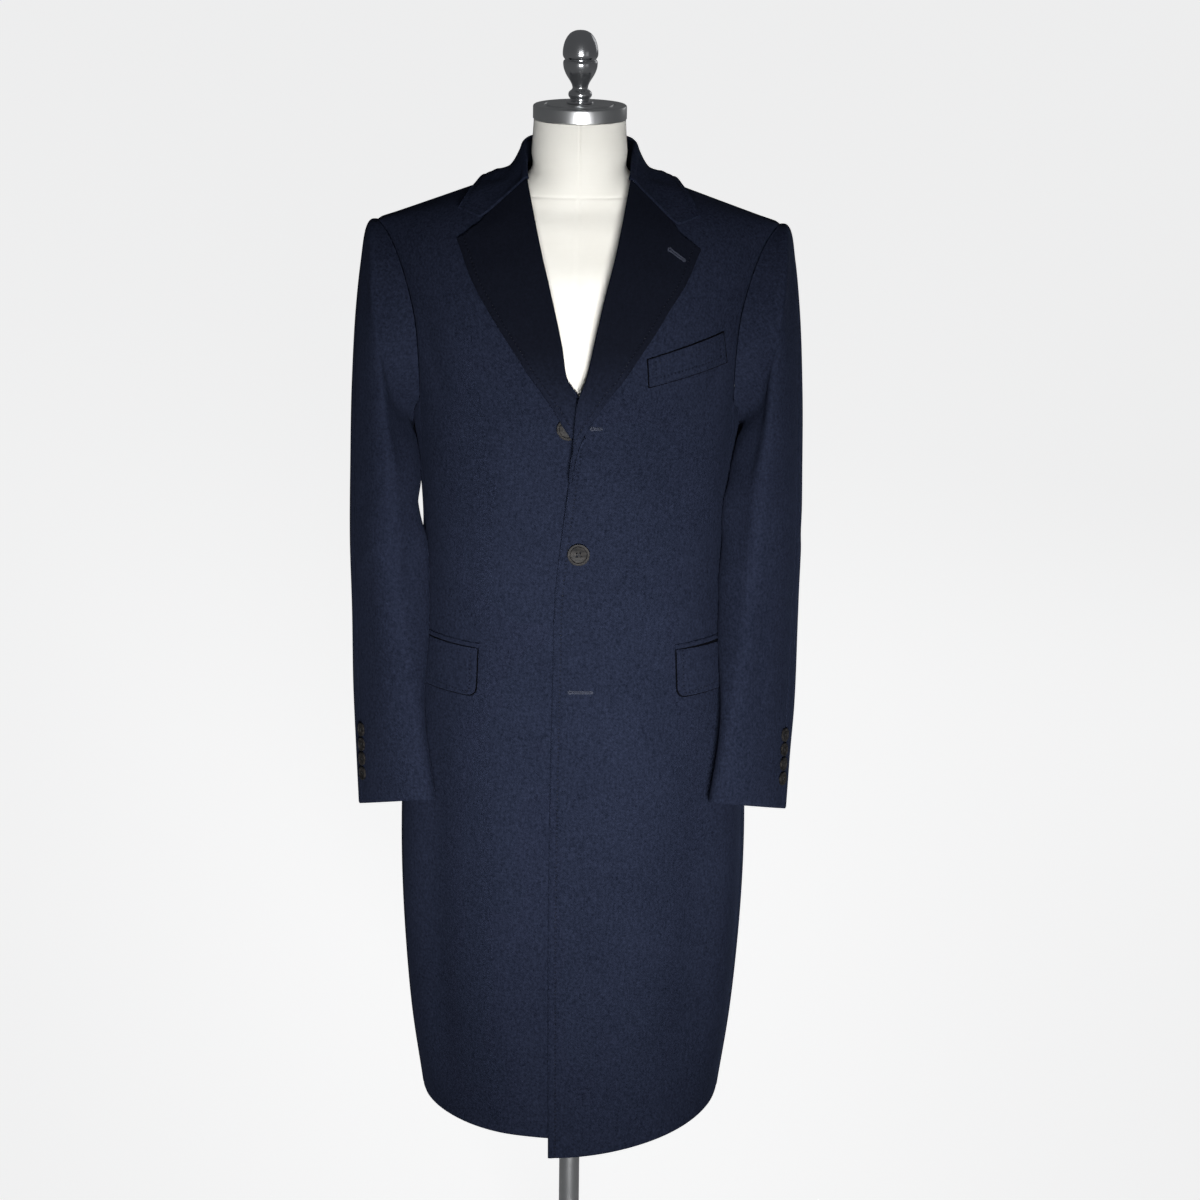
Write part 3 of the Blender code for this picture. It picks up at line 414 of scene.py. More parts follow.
def pick(made: bpy.types.Object) -> None:
    """Makes this object the only selected one, and the active one."""
    deselect_all()
    made.select_set(True)
    bpy.context.view_layer.objects.active = made


def named(name: str) -> bpy.types.Object:
    """Gives the object that an operator has just added its name."""
    made = bpy.context.view_layer.objects.active
    made.name = made.data.name = name
    return made


def apply_modifiers(made: bpy.types.Object) -> None:
    """Applies all modifiers of an object."""
    pick(made)
    for modifier in list(made.modifiers):
        bpy.ops.object.modifier_apply(modifier=modifier.name)


def set_points(mesh: bpy.types.Mesh, points: np.ndarray) -> None:
    """Moves the mesh's points to these."""
    mesh.vertices.foreach_set("co", np.ascontiguousarray(points, np.float32).reshape(-1))
    mesh.update()


def points_of(mesh: bpy.types.Mesh) -> np.ndarray:
    """The mesh's points, count by 3."""
    points = np.empty(len(mesh.vertices) * 3, np.float32)
    mesh.vertices.foreach_get("co", points)
    return points.reshape(-1, 3).astype(float)


def fill_uv(mesh: bpy.types.Mesh, name: str, values: np.ndarray) -> None:
    """Writes one (u, v) for each point into a UV map."""
    layer = mesh.uv_layers.get(name) or mesh.uv_layers.new(name=name)
    corners = np.empty(len(mesh.loops), np.int32)
    mesh.loops.foreach_get("vertex_index", corners)
    layer.data.foreach_set("uv", values.reshape(-1, 2)[corners].astype(np.float32).reshape(-1))


def grid_object(name: str, grid: np.ndarray) -> bpy.types.Object:
    """A grid primitive whose points are laid on a grid of places."""
    rows, columns = grid.shape[:2]
    deselect_all()
    bpy.ops.mesh.primitive_grid_add(
        x_subdivisions=columns - 1, y_subdivisions=rows - 1, size=2, calc_uvs=True
    )
    made = named(name)
    order = np.lexsort((np.round(points_of(made.data)[:, 0], 5), np.round(points_of(made.data)[:, 1], 5)))
    points = np.empty((rows * columns, 3))
    points[order] = grid.reshape(-1, 3)
    set_points(made.data, points)
    made["point_order"] = order.tolist()
    return made


def merged_from(name: str, points: np.ndarray, faces: Sequence[Sequence[int]]) -> bpy.types.Object:
    """A new object of these points and faces, which are copies of a modelled shape."""
    mesh = bpy.data.meshes.new(name)
    mesh.from_pydata(points.tolist(), [], [tuple(face) for face in faces])
    mesh.update()
    made = bpy.data.objects.new(name, mesh)
    bpy.context.scene.collection.objects.link(made)
    return made


def finished(made: bpy.types.Object, finish: bpy.types.Material, slot: str, *nodes: str) -> bpy.types.Object:
    """Dresses a piece, rides it on the coat's body and hides the solids that it stands for.

    Args:
        made: The piece.
        finish: Its material.
        slot: Not used.
        nodes: The CAD nodes that it replaces.

    Returns:
        The piece.
    """
    made.data.materials.clear()
    made.data.materials.append(finish)
    if "point_order" in made:
        del made["point_order"]
    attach(made, "root")
    if nodes:
        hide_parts(*nodes)
    LOG.info("%s: %d points", made.name, len(made.data.vertices))
    return made


def smooth_but_sharp(made: bpy.types.Object, degrees: float = 38.0) -> None:
    """Shades a piece smooth, with its corners left crisp."""
    pick(made)
    bpy.ops.object.shade_smooth_by_angle(angle=math.radians(degrees))


# ---------------------------------------------------------------- finishes
class NodeBench:
    """Adds and joins nodes in one tree."""

    def __init__(self, tree: bpy.types.NodeTree) -> None:
        """Works on this tree."""
        self.tree = tree

    def add(self, kind: str, **settings) -> bpy.types.Node:
        """A new node of this kind; inputs is a dict of socket to value or to another node's socket."""
        inputs = settings.pop("inputs", {})
        node = self.tree.nodes.new(kind)
        for key, value in settings.items():
            setattr(node, key, value)
        for key, value in inputs.items():
            socket = node.inputs[key]
            if isinstance(value, bpy.types.NodeSocket):
                self.tree.links.new(value, socket)
            else:
                socket.default_value = value
        return node

    def math(self, operation: str, *values) -> bpy.types.NodeSocket:
        """The result of a Math node on these numbers or sockets."""
        return self.add("ShaderNodeMath", operation=operation, inputs=dict(enumerate(values))).outputs[0]

    def mix(self, factor, low, high) -> bpy.types.NodeSocket:
        """A colour between two."""
        node = self.add("ShaderNodeMix", data_type="RGBA")
        for key, value in ((0, factor), (6, low), (7, high)):
            if isinstance(value, bpy.types.NodeSocket):
                self.tree.links.new(value, node.inputs[key])
            else:
                node.inputs[key].default_value = value
        return node.outputs[2]

    def noise(
        self, vector, scale: float, detail: float = 2.0, roughness: float = 0.5
    ) -> bpy.types.NodeSocket:
        """A noise value at a place."""
        inputs = {"Vector": vector, "Scale": scale, "Detail": detail, "Roughness": roughness}
        return self.add("ShaderNodeTexNoise", inputs=inputs).outputs["Fac"]

    def stretched(self, vector, scale: tuple[float, float, float]) -> bpy.types.NodeSocket:
        """A place stretched along its axes."""
        return self.add("ShaderNodeMapping", inputs={"Vector": vector, "Scale": scale}).outputs[0]


def new_group(name: str, inputs: dict[str, tuple[str, float]], outputs: dict[str, str]) -> bpy.types.NodeTree:
    """An empty shader node group.

    Args:
        name: Its name.
        inputs: Socket name to (socket type, value).
        outputs: Socket name to socket type.

    Returns:
        The group, with its input and output nodes in place.
    """
    group = bpy.data.node_groups.new(name, "ShaderNodeTree")
    for key, (kind, value) in inputs.items():
        socket = group.interface.new_socket(key, in_out="INPUT", socket_type=kind)
        if value is not None:
            socket.default_value = value
    for key, kind in outputs.items():
        group.interface.new_socket(key, in_out="OUTPUT", socket_type=kind)
    group.nodes.new("NodeGroupInput")
    group.nodes.new("NodeGroupOutput")
    return group


VECTOR, VALUE = "NodeSocketVector", "NodeSocketFloat"


def nap_group() -> bpy.types.NodeTree:
    """Brushed wool nap: cloudy tone, a faint grain down the cloth and short raised fibres."""
    sockets = {"Place": (VECTOR, None), "Cloth": (VECTOR, None)}
    group = new_group("wool_nap", sockets, {"Tone": VALUE, "Height": VALUE})
    bench = NodeBench(group)
    place, cloth = (group.nodes["Group Input"].outputs[key] for key in ("Place", "Cloth"))
    clouds = bench.noise(place, 9.0, 3.0, 0.55)
    flecks = bench.noise(place, 330.0, 4.0, 0.7)
    grain = bench.noise(bench.stretched(cloth, (520.0, 60.0, 1.0)), 1.0, 3.0, 0.6)
    twill = bench.add("ShaderNodeTexWave", bands_direction="DIAGONAL", inputs={
        "Vector": cloth, "Scale": 190.0, "Distortion": 3.0, "Detail": 2.0, "Detail Scale": 2.0,
    }).outputs["Fac"]
    tone = bench.math("MULTIPLY_ADD", clouds, 0.34, bench.math("MULTIPLY", flecks, 1.75))
    tone = bench.math("MULTIPLY_ADD", grain, 0.55, tone)
    tone = bench.math("MULTIPLY_ADD", twill, 0.06, tone)
    tone = bench.math("SUBTRACT", tone, 0.86)
    fibres = bench.noise(bench.stretched(cloth, (1500.0, 420.0, 1.0)), 1.0, 3.0, 0.65)
    height = bench.math("MULTIPLY_ADD", fibres, 0.6, bench.math("MULTIPLY", flecks, 0.7))
    height = bench.math("MULTIPLY_ADD", twill, 0.12, height)
    for key, value in (("Tone", tone), ("Height", height)):
        group.links.new(value, group.nodes["Group Output"].inputs[key])
    return group


def pick_stitch_group() -> bpy.types.NodeTree:
    """Small dimples in a row beside a turned edge, read from the edge map."""
    sockets = {"Edge": (VECTOR, None)}
    group = new_group("pick_stitch", sockets, {"Dimple": VALUE})
    bench = NodeBench(group)
    split = bench.add("ShaderNodeSeparateXYZ", inputs={0: group.nodes["Group Input"].outputs["Edge"]})
    inward = bench.math("DIVIDE", bench.math("SUBTRACT", split.outputs[0], STITCH_INSET), 0.0014)
    ridge = bench.math("MAXIMUM", bench.math("SUBTRACT", 1.0, bench.math("MULTIPLY", inward, inward)), 0.0)
    turns = bench.math("MULTIPLY", split.outputs[1], 2 * math.pi / STITCH_PITCH)
    beat = bench.math("MULTIPLY_ADD", bench.math("COSINE", turns), 0.5, 0.5)
    dimple = bench.math("MULTIPLY", ridge, bench.math("POWER", beat, 2.0))
    group.links.new(dimple, group.nodes["Group Output"].inputs["Dimple"])
    return group


def weave_group() -> bpy.types.NodeTree:
    """Plain canvas: crossing threads with uneven thickness."""
    group = new_group("canvas_weave", {"Place": (VECTOR, None), "Threads": (VALUE, 900.0)}, {"Height": VALUE})
    bench = NodeBench(group)
    place, threads = (group.nodes["Group Input"].outputs[key] for key in ("Place", "Threads"))
    waves = []
    for direction in ("X", "Z"):
        node = bench.add("ShaderNodeTexWave", bands_direction=direction, inputs={
            "Vector": place, "Scale": threads, "Distortion": 0.6, "Detail": 2.0,
        })
        waves.append(node.outputs["Fac"])
    crossed = bench.math("MULTIPLY", waves[0], waves[1])
    slubs = bench.noise(bench.stretched(place, (40.0, 40.0, 400.0)), 1.0)
    height = bench.math("MULTIPLY_ADD", slubs, 0.4, crossed)
    group.links.new(height, group.nodes["Group Output"].inputs["Height"])
    return group


def lathe_group() -> bpy.types.NodeTree:
    """Fine rings left by turning a metal piece about the upright axis."""
    group = new_group("lathe_rings", {"Place": (VECTOR, None)}, {"Height": VALUE, "Wear": VALUE})
    bench = NodeBench(group)
    place = group.nodes["Group Input"].outputs["Place"]
    split = bench.add("ShaderNodeSeparateXYZ", inputs={0: place})
    square = bench.math("MULTIPLY", split.outputs[0], split.outputs[0])
    square = bench.math("MULTIPLY_ADD", split.outputs[1], split.outputs[1], square)
    radius = bench.math("SQRT", square)
    joined = bench.add("ShaderNodeCombineXYZ", inputs={0: radius, 1: split.outputs[2]}).outputs[0]
    rings = bench.noise(joined, 2600.0, 3.0, 0.6)
    wear = bench.noise(place, 45.0, 3.0, 0.6)
    for key, value in (("Height", rings), ("Wear", wear)):
        group.links.new(value, group.nodes["Group Output"].inputs[key])
    return group


@dataclass(frozen=True)
class Finish:
    """What every finish shares: a name and a way to start its material."""

    name: str

    def begin(self) -> tuple[bpy.types.Material, NodeBench, bpy.types.Node]:
        """A new material, a bench on its nodes and its shader."""
        made = bpy.data.materials.new(self.name)
        made.use_nodes = True
        return made, NodeBench(made.node_tree), made.node_tree.nodes["Principled BSDF"]

    def place(self, bench: NodeBench) -> bpy.types.NodeSocket:
        """The place on the piece, in metres."""
        return bench.add("ShaderNodeTexCoord").outputs["Object"]

    def bump(
        self, bench: NodeBench, shader: bpy.types.Node, height, distance: float, strength: float = 1.0
    ) -> None:
        """Feeds a height into the shader's normal."""
        inputs = {"Height": height, "Distance": distance, "Strength": strength}
        node = bench.add("ShaderNodeBump", inputs=inputs)
        bench.tree.links.new(node.outputs[0], shader.inputs["Normal"])


@dataclass(frozen=True)
class WoolFinish(Finish):
    """Napped wool and cashmere cloth."""

    groups: dict[str, bpy.types.NodeTree]
    dark: tuple[float, float, float]
    light: tuple[float, float, float]
    sheen: float = 0.02
    # Painted shade: above these heights the colour is darkened toward this tone and hue, by up to this share.
    painted_shade_heights: tuple[float, float] | None = None
    painted_shade_tone: float = 0.30
    painted_shade_hue: tuple[float, float, float] = (1.08, 1.0, 0.9)
    painted_shade_share: float = 0.82

    def with_painted_shade(self, bench: NodeBench, place: bpy.types.NodeSocket, colour) -> bpy.types.NodeSocket:
        """The colour with painted shade over it, darker above the heights of painted_shade_heights."""
        height = bench.add("ShaderNodeSeparateXYZ", inputs={0: place}).outputs[2]
        inputs = {"Value": height, "From Min": self.painted_shade_heights[0], "From Max": self.painted_shade_heights[1]}
        risen = bench.add("ShaderNodeMapRange", inputs=inputs)
        tones = zip(self.dark, self.light, self.painted_shade_hue)
        darker = tuple(self.painted_shade_tone * (c + d) / 2 * k for c, d, k in tones)
        return bench.mix(bench.math("MULTIPLY", risen.outputs[0], self.painted_shade_share), colour, (*darker, 1))

    def material(self) -> bpy.types.Material:
        """The cloth's material."""
        made, bench, shader = self.begin()
        place = self.place(bench)
        cloth = bench.add("ShaderNodeUVMap", uv_map="UVMap").outputs[0]
        edge = bench.add("ShaderNodeUVMap", uv_map="edge").outputs[0]
        inputs = {"Place": place, "Cloth": cloth}
        nap = bench.add("ShaderNodeGroup", node_tree=self.groups["nap"], inputs=inputs)
        stitch = bench.add("ShaderNodeGroup", node_tree=self.groups["stitch"], inputs={"Edge": edge})
        colour = bench.mix(nap.outputs["Tone"], (*self.dark, 1), (*self.light, 1))
        # Painted shade over the cloth's colour, darker higher up.
        if self.painted_shade_heights is not None:
            colour = self.with_painted_shade(bench, place, colour)
        # Painted shade in the stitch dimples: the colour darkens toward half the dark tone there.
        shade = tuple(0.5 * c for c in self.dark)
        dimmed = bench.math("MULTIPLY", stitch.outputs["Dimple"], 0.5)
        colour = bench.mix(dimmed, colour, (*shade, 1))
        bench.tree.links.new(colour, shader.inputs["Base Color"])
        height = bench.math("MULTIPLY_ADD", stitch.outputs["Dimple"], -2.2, nap.outputs["Height"])
        self.bump(bench, shader, height, 0.00028)
        shader.inputs["Roughness"].default_value = 0.92
        shader.inputs["Specular IOR Level"].default_value = 0.03
        shader.inputs["Sheen Weight"].default_value = self.sheen
        shader.inputs["Sheen Roughness"].default_value = 0.45
        shader.inputs["Sheen Tint"].default_value = (0.32, 0.42, 0.80, 1)
        return made


@dataclass(frozen=True)
class ThreadFinish(Finish):
    """Twisted sewing thread."""

    colour: tuple[float, float, float]

    def material(self) -> bpy.types.Material:
        """The thread's material."""
        made, bench, shader = self.begin()
        strands = bench.noise(self.place(bench), 2400.0, 2.0)
        low, high = (tuple(k * c for c in self.colour) for k in (0.6, 1.4))
        bench.tree.links.new(bench.mix(strands, (*low, 1), (*high, 1)), shader.inputs["Base Color"])
        self.bump(bench, shader, strands, 0.00008)
        shader.inputs["Roughness"].default_value = 0.7
        return made


@dataclass(frozen=True)
class HornFinish(Finish):
    """Polished dark horn with cloudy streaks."""

    dark: tuple[float, float, float] = (0.004, 0.004, 0.0045)
    light: tuple[float, float, float] = (0.026, 0.024, 0.023)

    def material(self) -> bpy.types.Material:
        """The horn's material."""
        made, bench, shader = self.begin()
        place = self.place(bench)
        streaks = bench.noise(bench.stretched(place, (90.0, 90.0, 260.0)), 1.0, 4.0, 0.65)
        streaks = bench.math("MULTIPLY_ADD", streaks, 2.4, -0.80)
        bench.tree.links.new(
            bench.mix(streaks, (*self.dark, 1), (*self.light, 1)), shader.inputs["Base Color"]
        )
        scuffs = bench.noise(place, 900.0, 3.0)
        bench.tree.links.new(bench.math("MULTIPLY_ADD", scuffs, 0.25, 0.36), shader.inputs["Roughness"])
        shader.inputs["Specular IOR Level"].default_value = 0.08
        self.bump(bench, shader, scuffs, 0.00003)
        return made


@dataclass(frozen=True)
class LinenFinish(Finish):
    """Cream cotton canvas stretched over the form."""

    groups: dict[str, bpy.types.NodeTree]
    low: tuple[float, float, float] = (0.76, 0.735, 0.665)
    high: tuple[float, float, float] = (0.90, 0.885, 0.825)

    def material(self) -> bpy.types.Material:
        """The canvas's material."""
        made, bench, shader = self.begin()
        place = self.place(bench)
        weave = bench.add("ShaderNodeGroup", node_tree=self.groups["weave"], inputs={"Place": place})
        clouds = bench.noise(place, 14.0, 3.0)
        tone = bench.math("MULTIPLY_ADD", weave.outputs["Height"], 0.35, clouds)
        bench.tree.links.new(bench.mix(tone, (*self.low, 1), (*self.high, 1)), shader.inputs["Base Color"])
        self.bump(bench, shader, weave.outputs["Height"], 0.00012)
        shader.inputs["Roughness"].default_value = 0.85
        shader.inputs["Sheen Weight"].default_value = 0.1
        return made


@dataclass(frozen=True)
class MetalFinish(Finish):
    """Turned and polished aluminium."""

    groups: dict[str, bpy.types.NodeTree]
    colour: tuple[float, float, float] = (0.60, 0.61, 0.63)
    roughness: float = 0.16
    rings: float = 0.00002

    def material(self) -> bpy.types.Material:
        """The metal's material."""
        made, bench, shader = self.begin()
        lathe = bench.add(
            "ShaderNodeGroup", node_tree=self.groups["lathe"], inputs={"Place": self.place(bench)}
        )
        worn = tuple(0.82 * c for c in self.colour)
        colour = bench.mix(lathe.outputs["Wear"], (*self.colour, 1), (*worn, 1))
        bench.tree.links.new(colour, shader.inputs["Base Color"])
        rough = bench.math("MULTIPLY_ADD", lathe.outputs["Wear"], 0.16, self.roughness - 0.06)
        bench.tree.links.new(rough, shader.inputs["Roughness"])
        self.bump(bench, shader, lathe.outputs["Height"], self.rings)
        shader.inputs["Metallic"].default_value = 1.0
        return made


class Finishes:
    """All the materials of the object, made once."""

    def __init__(self) -> None:
        """Builds the shared groups, then each material."""
        groups = {
            "nap": nap_group(),
            "stitch": pick_stitch_group(),
            "weave": weave_group(),
            "lathe": lathe_group(),
        }
        dark, light = (0.0026, 0.0038, 0.0082), (0.0148, 0.0188, 0.0360)
        self.wool = WoolFinish("navy_wool", groups, dark, light).material()
        # The lapels and the collar stand: the same wool with painted shade darkening it above 1.21 to 1.31 m.
        self.lapel_wool_painted_shade = WoolFinish(
            "navy_wool_lapel_painted_shade", groups, dark, light, painted_shade_heights=(1.21, 1.31)
        ).material()
        # A dark wool used only as painted shade: inside the pocket mouths, in the strips of painted shadow
        # under the flaps and the welt, and in the buttonhole slits.
        self.painted_shade_wool = WoolFinish(
            "navy_wool_painted_shade", groups, (0.0008, 0.0010, 0.0018), (0.0016, 0.0020, 0.0036), 0.0
        ).material()
        self.thread = ThreadFinish("navy_thread", (0.0022, 0.0028, 0.0058)).material()
        self.silk = ThreadFinish("buttonhole_silk", (0.010, 0.014, 0.030)).material()
        self.horn = HornFinish("dark_horn").material()
        self.linen = LinenFinish("form_linen", groups).material()
        self.metal = MetalFinish("polished_metal", groups).material()
        self.brushed = MetalFinish("brushed_metal", groups, (0.66, 0.67, 0.68), 0.30, 0.00004).material()


# ---------------------------------------------------------------- cloth
class Edge(Enum):
    """What a border of a cut piece does."""

    SEAM = "sewn to its neighbour"
    FREE = "turned over and free"
    CRISP = "pressed to a thin edge"
    STITCHED = "free, and pick-stitched a little way in"
    FLAT = "hidden under another piece"


@dataclass(frozen=True)
class Fold:
    """A soft ridge, or a trough where height is negative, along a line on the cloth."""

    line: np.ndarray
    width: float
    height: float

    def lift(self, points: np.ndarray) -> np.ndarray:
        """How far the fold lifts each point; it fades out towards both of its ends."""
        flat = points.reshape(-1, 3)
        best = np.full(len(flat), np.inf)
        share = np.zeros(len(flat))
        spans = np.linalg.norm(np.diff(self.line, axis=0), axis=1)
        starts = np.concatenate([[0.0], np.cumsum(spans)])
        for k, (a, b) in enumerate(zip(self.line, self.line[1:])):
            t = np.clip((flat - a) @ (b - a) / max(spans[k] ** 2, 1e-12), 0, 1)
            away = np.linalg.norm(flat - (a + t[:, None] * (b - a)), axis=1)
            nearer = away < best
            best = np.where(nearer, away, best)
            share = np.where(nearer, (starts[k] + t * spans[k]) / starts[-1], share)
        ends = np.clip(np.minimum(share, 1 - share) / 0.28, 0, 1)
        lifted = self.height * np.exp(-((best / self.width) ** 2)) * ends * ends * (3 - 2 * ends)
        return lifted.reshape(points.shape[:-1])


def body_fold(degrees_and_heights: Sequence[tuple[float, float]], width: float, height: float) -> Fold:
    """A fold on the body of the coat through (degrees from the centre front, z)."""
    through = np.array([section_point(math.radians(angle), z) for angle, z in degrees_and_heights])
    return Fold(spline(through, np.linspace(0, len(through) - 1, 6 * len(through))), width, height)


def edge_profile(inward: np.ndarray, edge: Edge) -> np.ndarray:
    """How far the cloth rises or dips beside a border, at these distances from it."""
    if edge is Edge.FLAT:
        return np.zeros_like(inward)
    if edge is Edge.SEAM:
        return -0.0010 * np.exp(-((inward / 0.0022) ** 2)) - 0.0003 * np.exp(-((inward / 0.0070) ** 2))
    if edge is Edge.CRISP:
        return -0.0005 * np.clip(1 - inward / 0.0016, 0, 1) ** 2
    rolled = -0.0012 * np.clip(1 - inward / 0.0030, 0, 1) ** 2
    if edge is Edge.STITCHED:
        rolled = rolled - 0.00045 * np.exp(-(((inward - STITCH_INSET) / 0.0018) ** 2))
    return rolled


@dataclass
class ClothSheet:
    """One cut piece: a thin shell on a grid of points, with its edges and folds pressed into it."""

    name: str
    grid: np.ndarray
    thickness: float = CLOTH
    bottom: Edge = Edge.SEAM
    top: Edge = Edge.SEAM
    left: Edge = Edge.SEAM
    right: Edge = Edge.SEAM
    spacing: float = GRID_SPACING
    folds: Sequence[Fold] = ()
    clear_of: "Ground | None" = None
    least: float = 0.0046
    gap: float = SEAM_GAP / 2
    ready: bool = False
    settled: Callable[[np.ndarray], np.ndarray] | None = None

    def shape(self) -> np.ndarray:
        """The finished outer face: refined, trimmed at its seams, folded and rounded at its edges."""
        fine = self.grid if self.ready else refined(self.grid, self.spacing)
        for border, inner in ((0, 1), (-1, -2)):
            fine[border] += unit(fine[inner] - fine[border]) * self.gap
            fine[:, border] += unit(fine[:, inner] - fine[:, border]) * self.gap
        across, up = along_rows(fine), along_columns(fine)
        lift = edge_profile(across, self.left) + edge_profile(across[:, -1:] - across, self.right)
        lift = lift + edge_profile(up, self.bottom) + edge_profile(up[-1:] - up, self.top)
        for fold in self.folds:
            lift = lift + fold.lift(fine)
        fine = fine + normals_of(fine) * lift[..., None]
        if self.clear_of is not None:
            fine = self.clear_of.pushed(fine, self.least)
        if self.settled is not None:
            fine = self.settled(fine)
        self.across, self.up, self.fine = across, up, fine
        return fine

    def edge_map(self) -> np.ndarray:
        """For each point its distance in from the nearest stitched border, and how far along it is."""
        inward, along = np.ones(self.across.shape), np.zeros(self.across.shape)
        borders = (
            (self.left, self.across, self.up),
            (self.right, self.across[:, -1:] - self.across, self.up),
            (self.bottom, self.up, self.across),
            (self.top, self.up[-1:] - self.up, self.across),
        )
        for edge, distance, length in borders:
            if edge is Edge.STITCHED:
                along = np.where(distance < inward, length, along)
                inward = np.minimum(inward, distance)
        return np.stack([inward, along], axis=-1)

    def build(self) -> bpy.types.Object:
        """The piece as an object, with its cloth and edge maps."""
        fine = self.shape()
        made = grid_object(f"{self.name}_cloth", fine)
        order = np.array(made["point_order"])
        maps = {"UVMap": np.stack([self.across, self.up], axis=-1), "edge": self.edge_map()}
        for key, values in maps.items():
            placed = np.empty((len(order), 2))
            placed[order] = values.reshape(-1, 2)
            fill_uv(made.data, key, placed)
        wall = made.modifiers.new("wall", "SOLIDIFY")
        wall.thickness, wall.offset, wall.use_even_offset = self.thickness, -1.0, False
        apply_modifiers(made)
        smooth_but_sharp(made, 50.0)
        return made

    def finish(self, cloth: bpy.types.Material, held: str, rests_on: Sequence[str], *nodes: str,
               with_pieces: Sequence[bpy.types.Object] = ()) -> bpy.types.Object:
        """Args:
            cloth: Its material.
            rests_on: Not used.
            nodes: The CAD nodes that it replaces.
            with_pieces: Not used.

        Returns:
            The piece.
        """
        made = finished(self.build(), cloth, "navy_wool", *nodes)
        return made

    def trim(self, cloth: bpy.types.Material, *nodes: str) -> bpy.types.Object:
        """Builds and dresses a strip too narrow to be declared, which goes with a larger piece."""
        return finished(self.build(), cloth, "navy_wool", *nodes)

    def inset_path(self, border: str, inset: float = STITCH_INSET) -> tuple[np.ndarray, np.ndarray]:
        """A line of places that far in from a border, and the cloth's normals there."""
        normals = normals_of(self.fine)
        grid, distance = (self.fine, self.across) if border in ("left", "right") else (
            self.fine.transpose(1, 0, 2), self.up.T)
        if border in ("top", "bottom"):
            normals = normals.transpose(1, 0, 2)
        if border in ("right", "top"):
            grid, normals, distance = grid[:, ::-1], normals[:, ::-1], (distance[:, -1:] - distance)[:, ::-1]
        places, ways = [], []
        for row, way, far in zip(grid, normals, distance):
            at = np.interp(inset, far, np.arange(len(far)))
            places.append([np.interp(at, np.arange(len(far)), row[:, k]) for k in range(3)])
            ways.append([np.interp(at, np.arange(len(far)), way[:, k]) for k in range(3)])
        return np.array(places), unit(np.array(ways))


class Ground:
    """The outer faces of some grids, to lay other pieces on."""

    def __init__(self, *grids: np.ndarray) -> None:
        """Builds a search tree of the grids' faces."""
        points, faces = [], []
        for grid in grids:
            first, (rows, columns) = len(points), grid.shape[:2]
            points += [Vector(p) for p in grid.reshape(-1, 3)]
            for r in range(rows - 1):
                for c in range(columns - 1):
                    a = first + r * columns + c
                    faces.append((a, a + 1, a + 1 + columns, a + columns))
        self.tree = BVHTree.FromPolygons(points, faces)

    def from_front(self, x: float, z: float, lift: float) -> np.ndarray:
        """The point in front of the cloth at x and z, that far off it."""
        place, normal, _, _ = self.tree.ray_cast(Vector((x, -1.0, z)), Vector((0, 1, 0)))
        if place is None:
            place, normal, _, _ = self.tree.find_nearest(Vector((x, -0.12, z)))
            place = Vector((x, place.y, z))
        return np.array(place + (normal if normal.y < 0 else -normal) * lift)

    def near(self, point: np.ndarray, lift: float) -> np.ndarray:
        """The nearest point of the cloth, that far off it."""
        place, normal, _, _ = self.tree.find_nearest(Vector(point))
        return np.array(place + normal * lift)

    def clear_of(self, point: np.ndarray, least: float) -> np.ndarray:
        """The point, or the nearest one to it that is at least that far off the cloth."""
        place, normal, _, _ = self.tree.find_nearest(Vector(point))
        height = (Vector(point) - place).dot(normal)
        return np.asarray(point) + np.array(normal) * max(0.0, least - height)

    def pushed(self, grid: np.ndarray, least: float, reach: float = 0.03) -> np.ndarray:
        """The grid with its points moved out where they come nearer than least to the cloth."""
        raised = grid.copy()
        for index in np.ndindex(grid.shape[:2]):
            place, normal, _, away = self.tree.find_nearest(Vector(grid[index]), reach)
            if place is None or away > 0.02:
                continue
            height = (Vector(grid[index]) - place).dot(normal)
            raised[index] += np.array(normal) * max(0.0, least - height)
        return raised


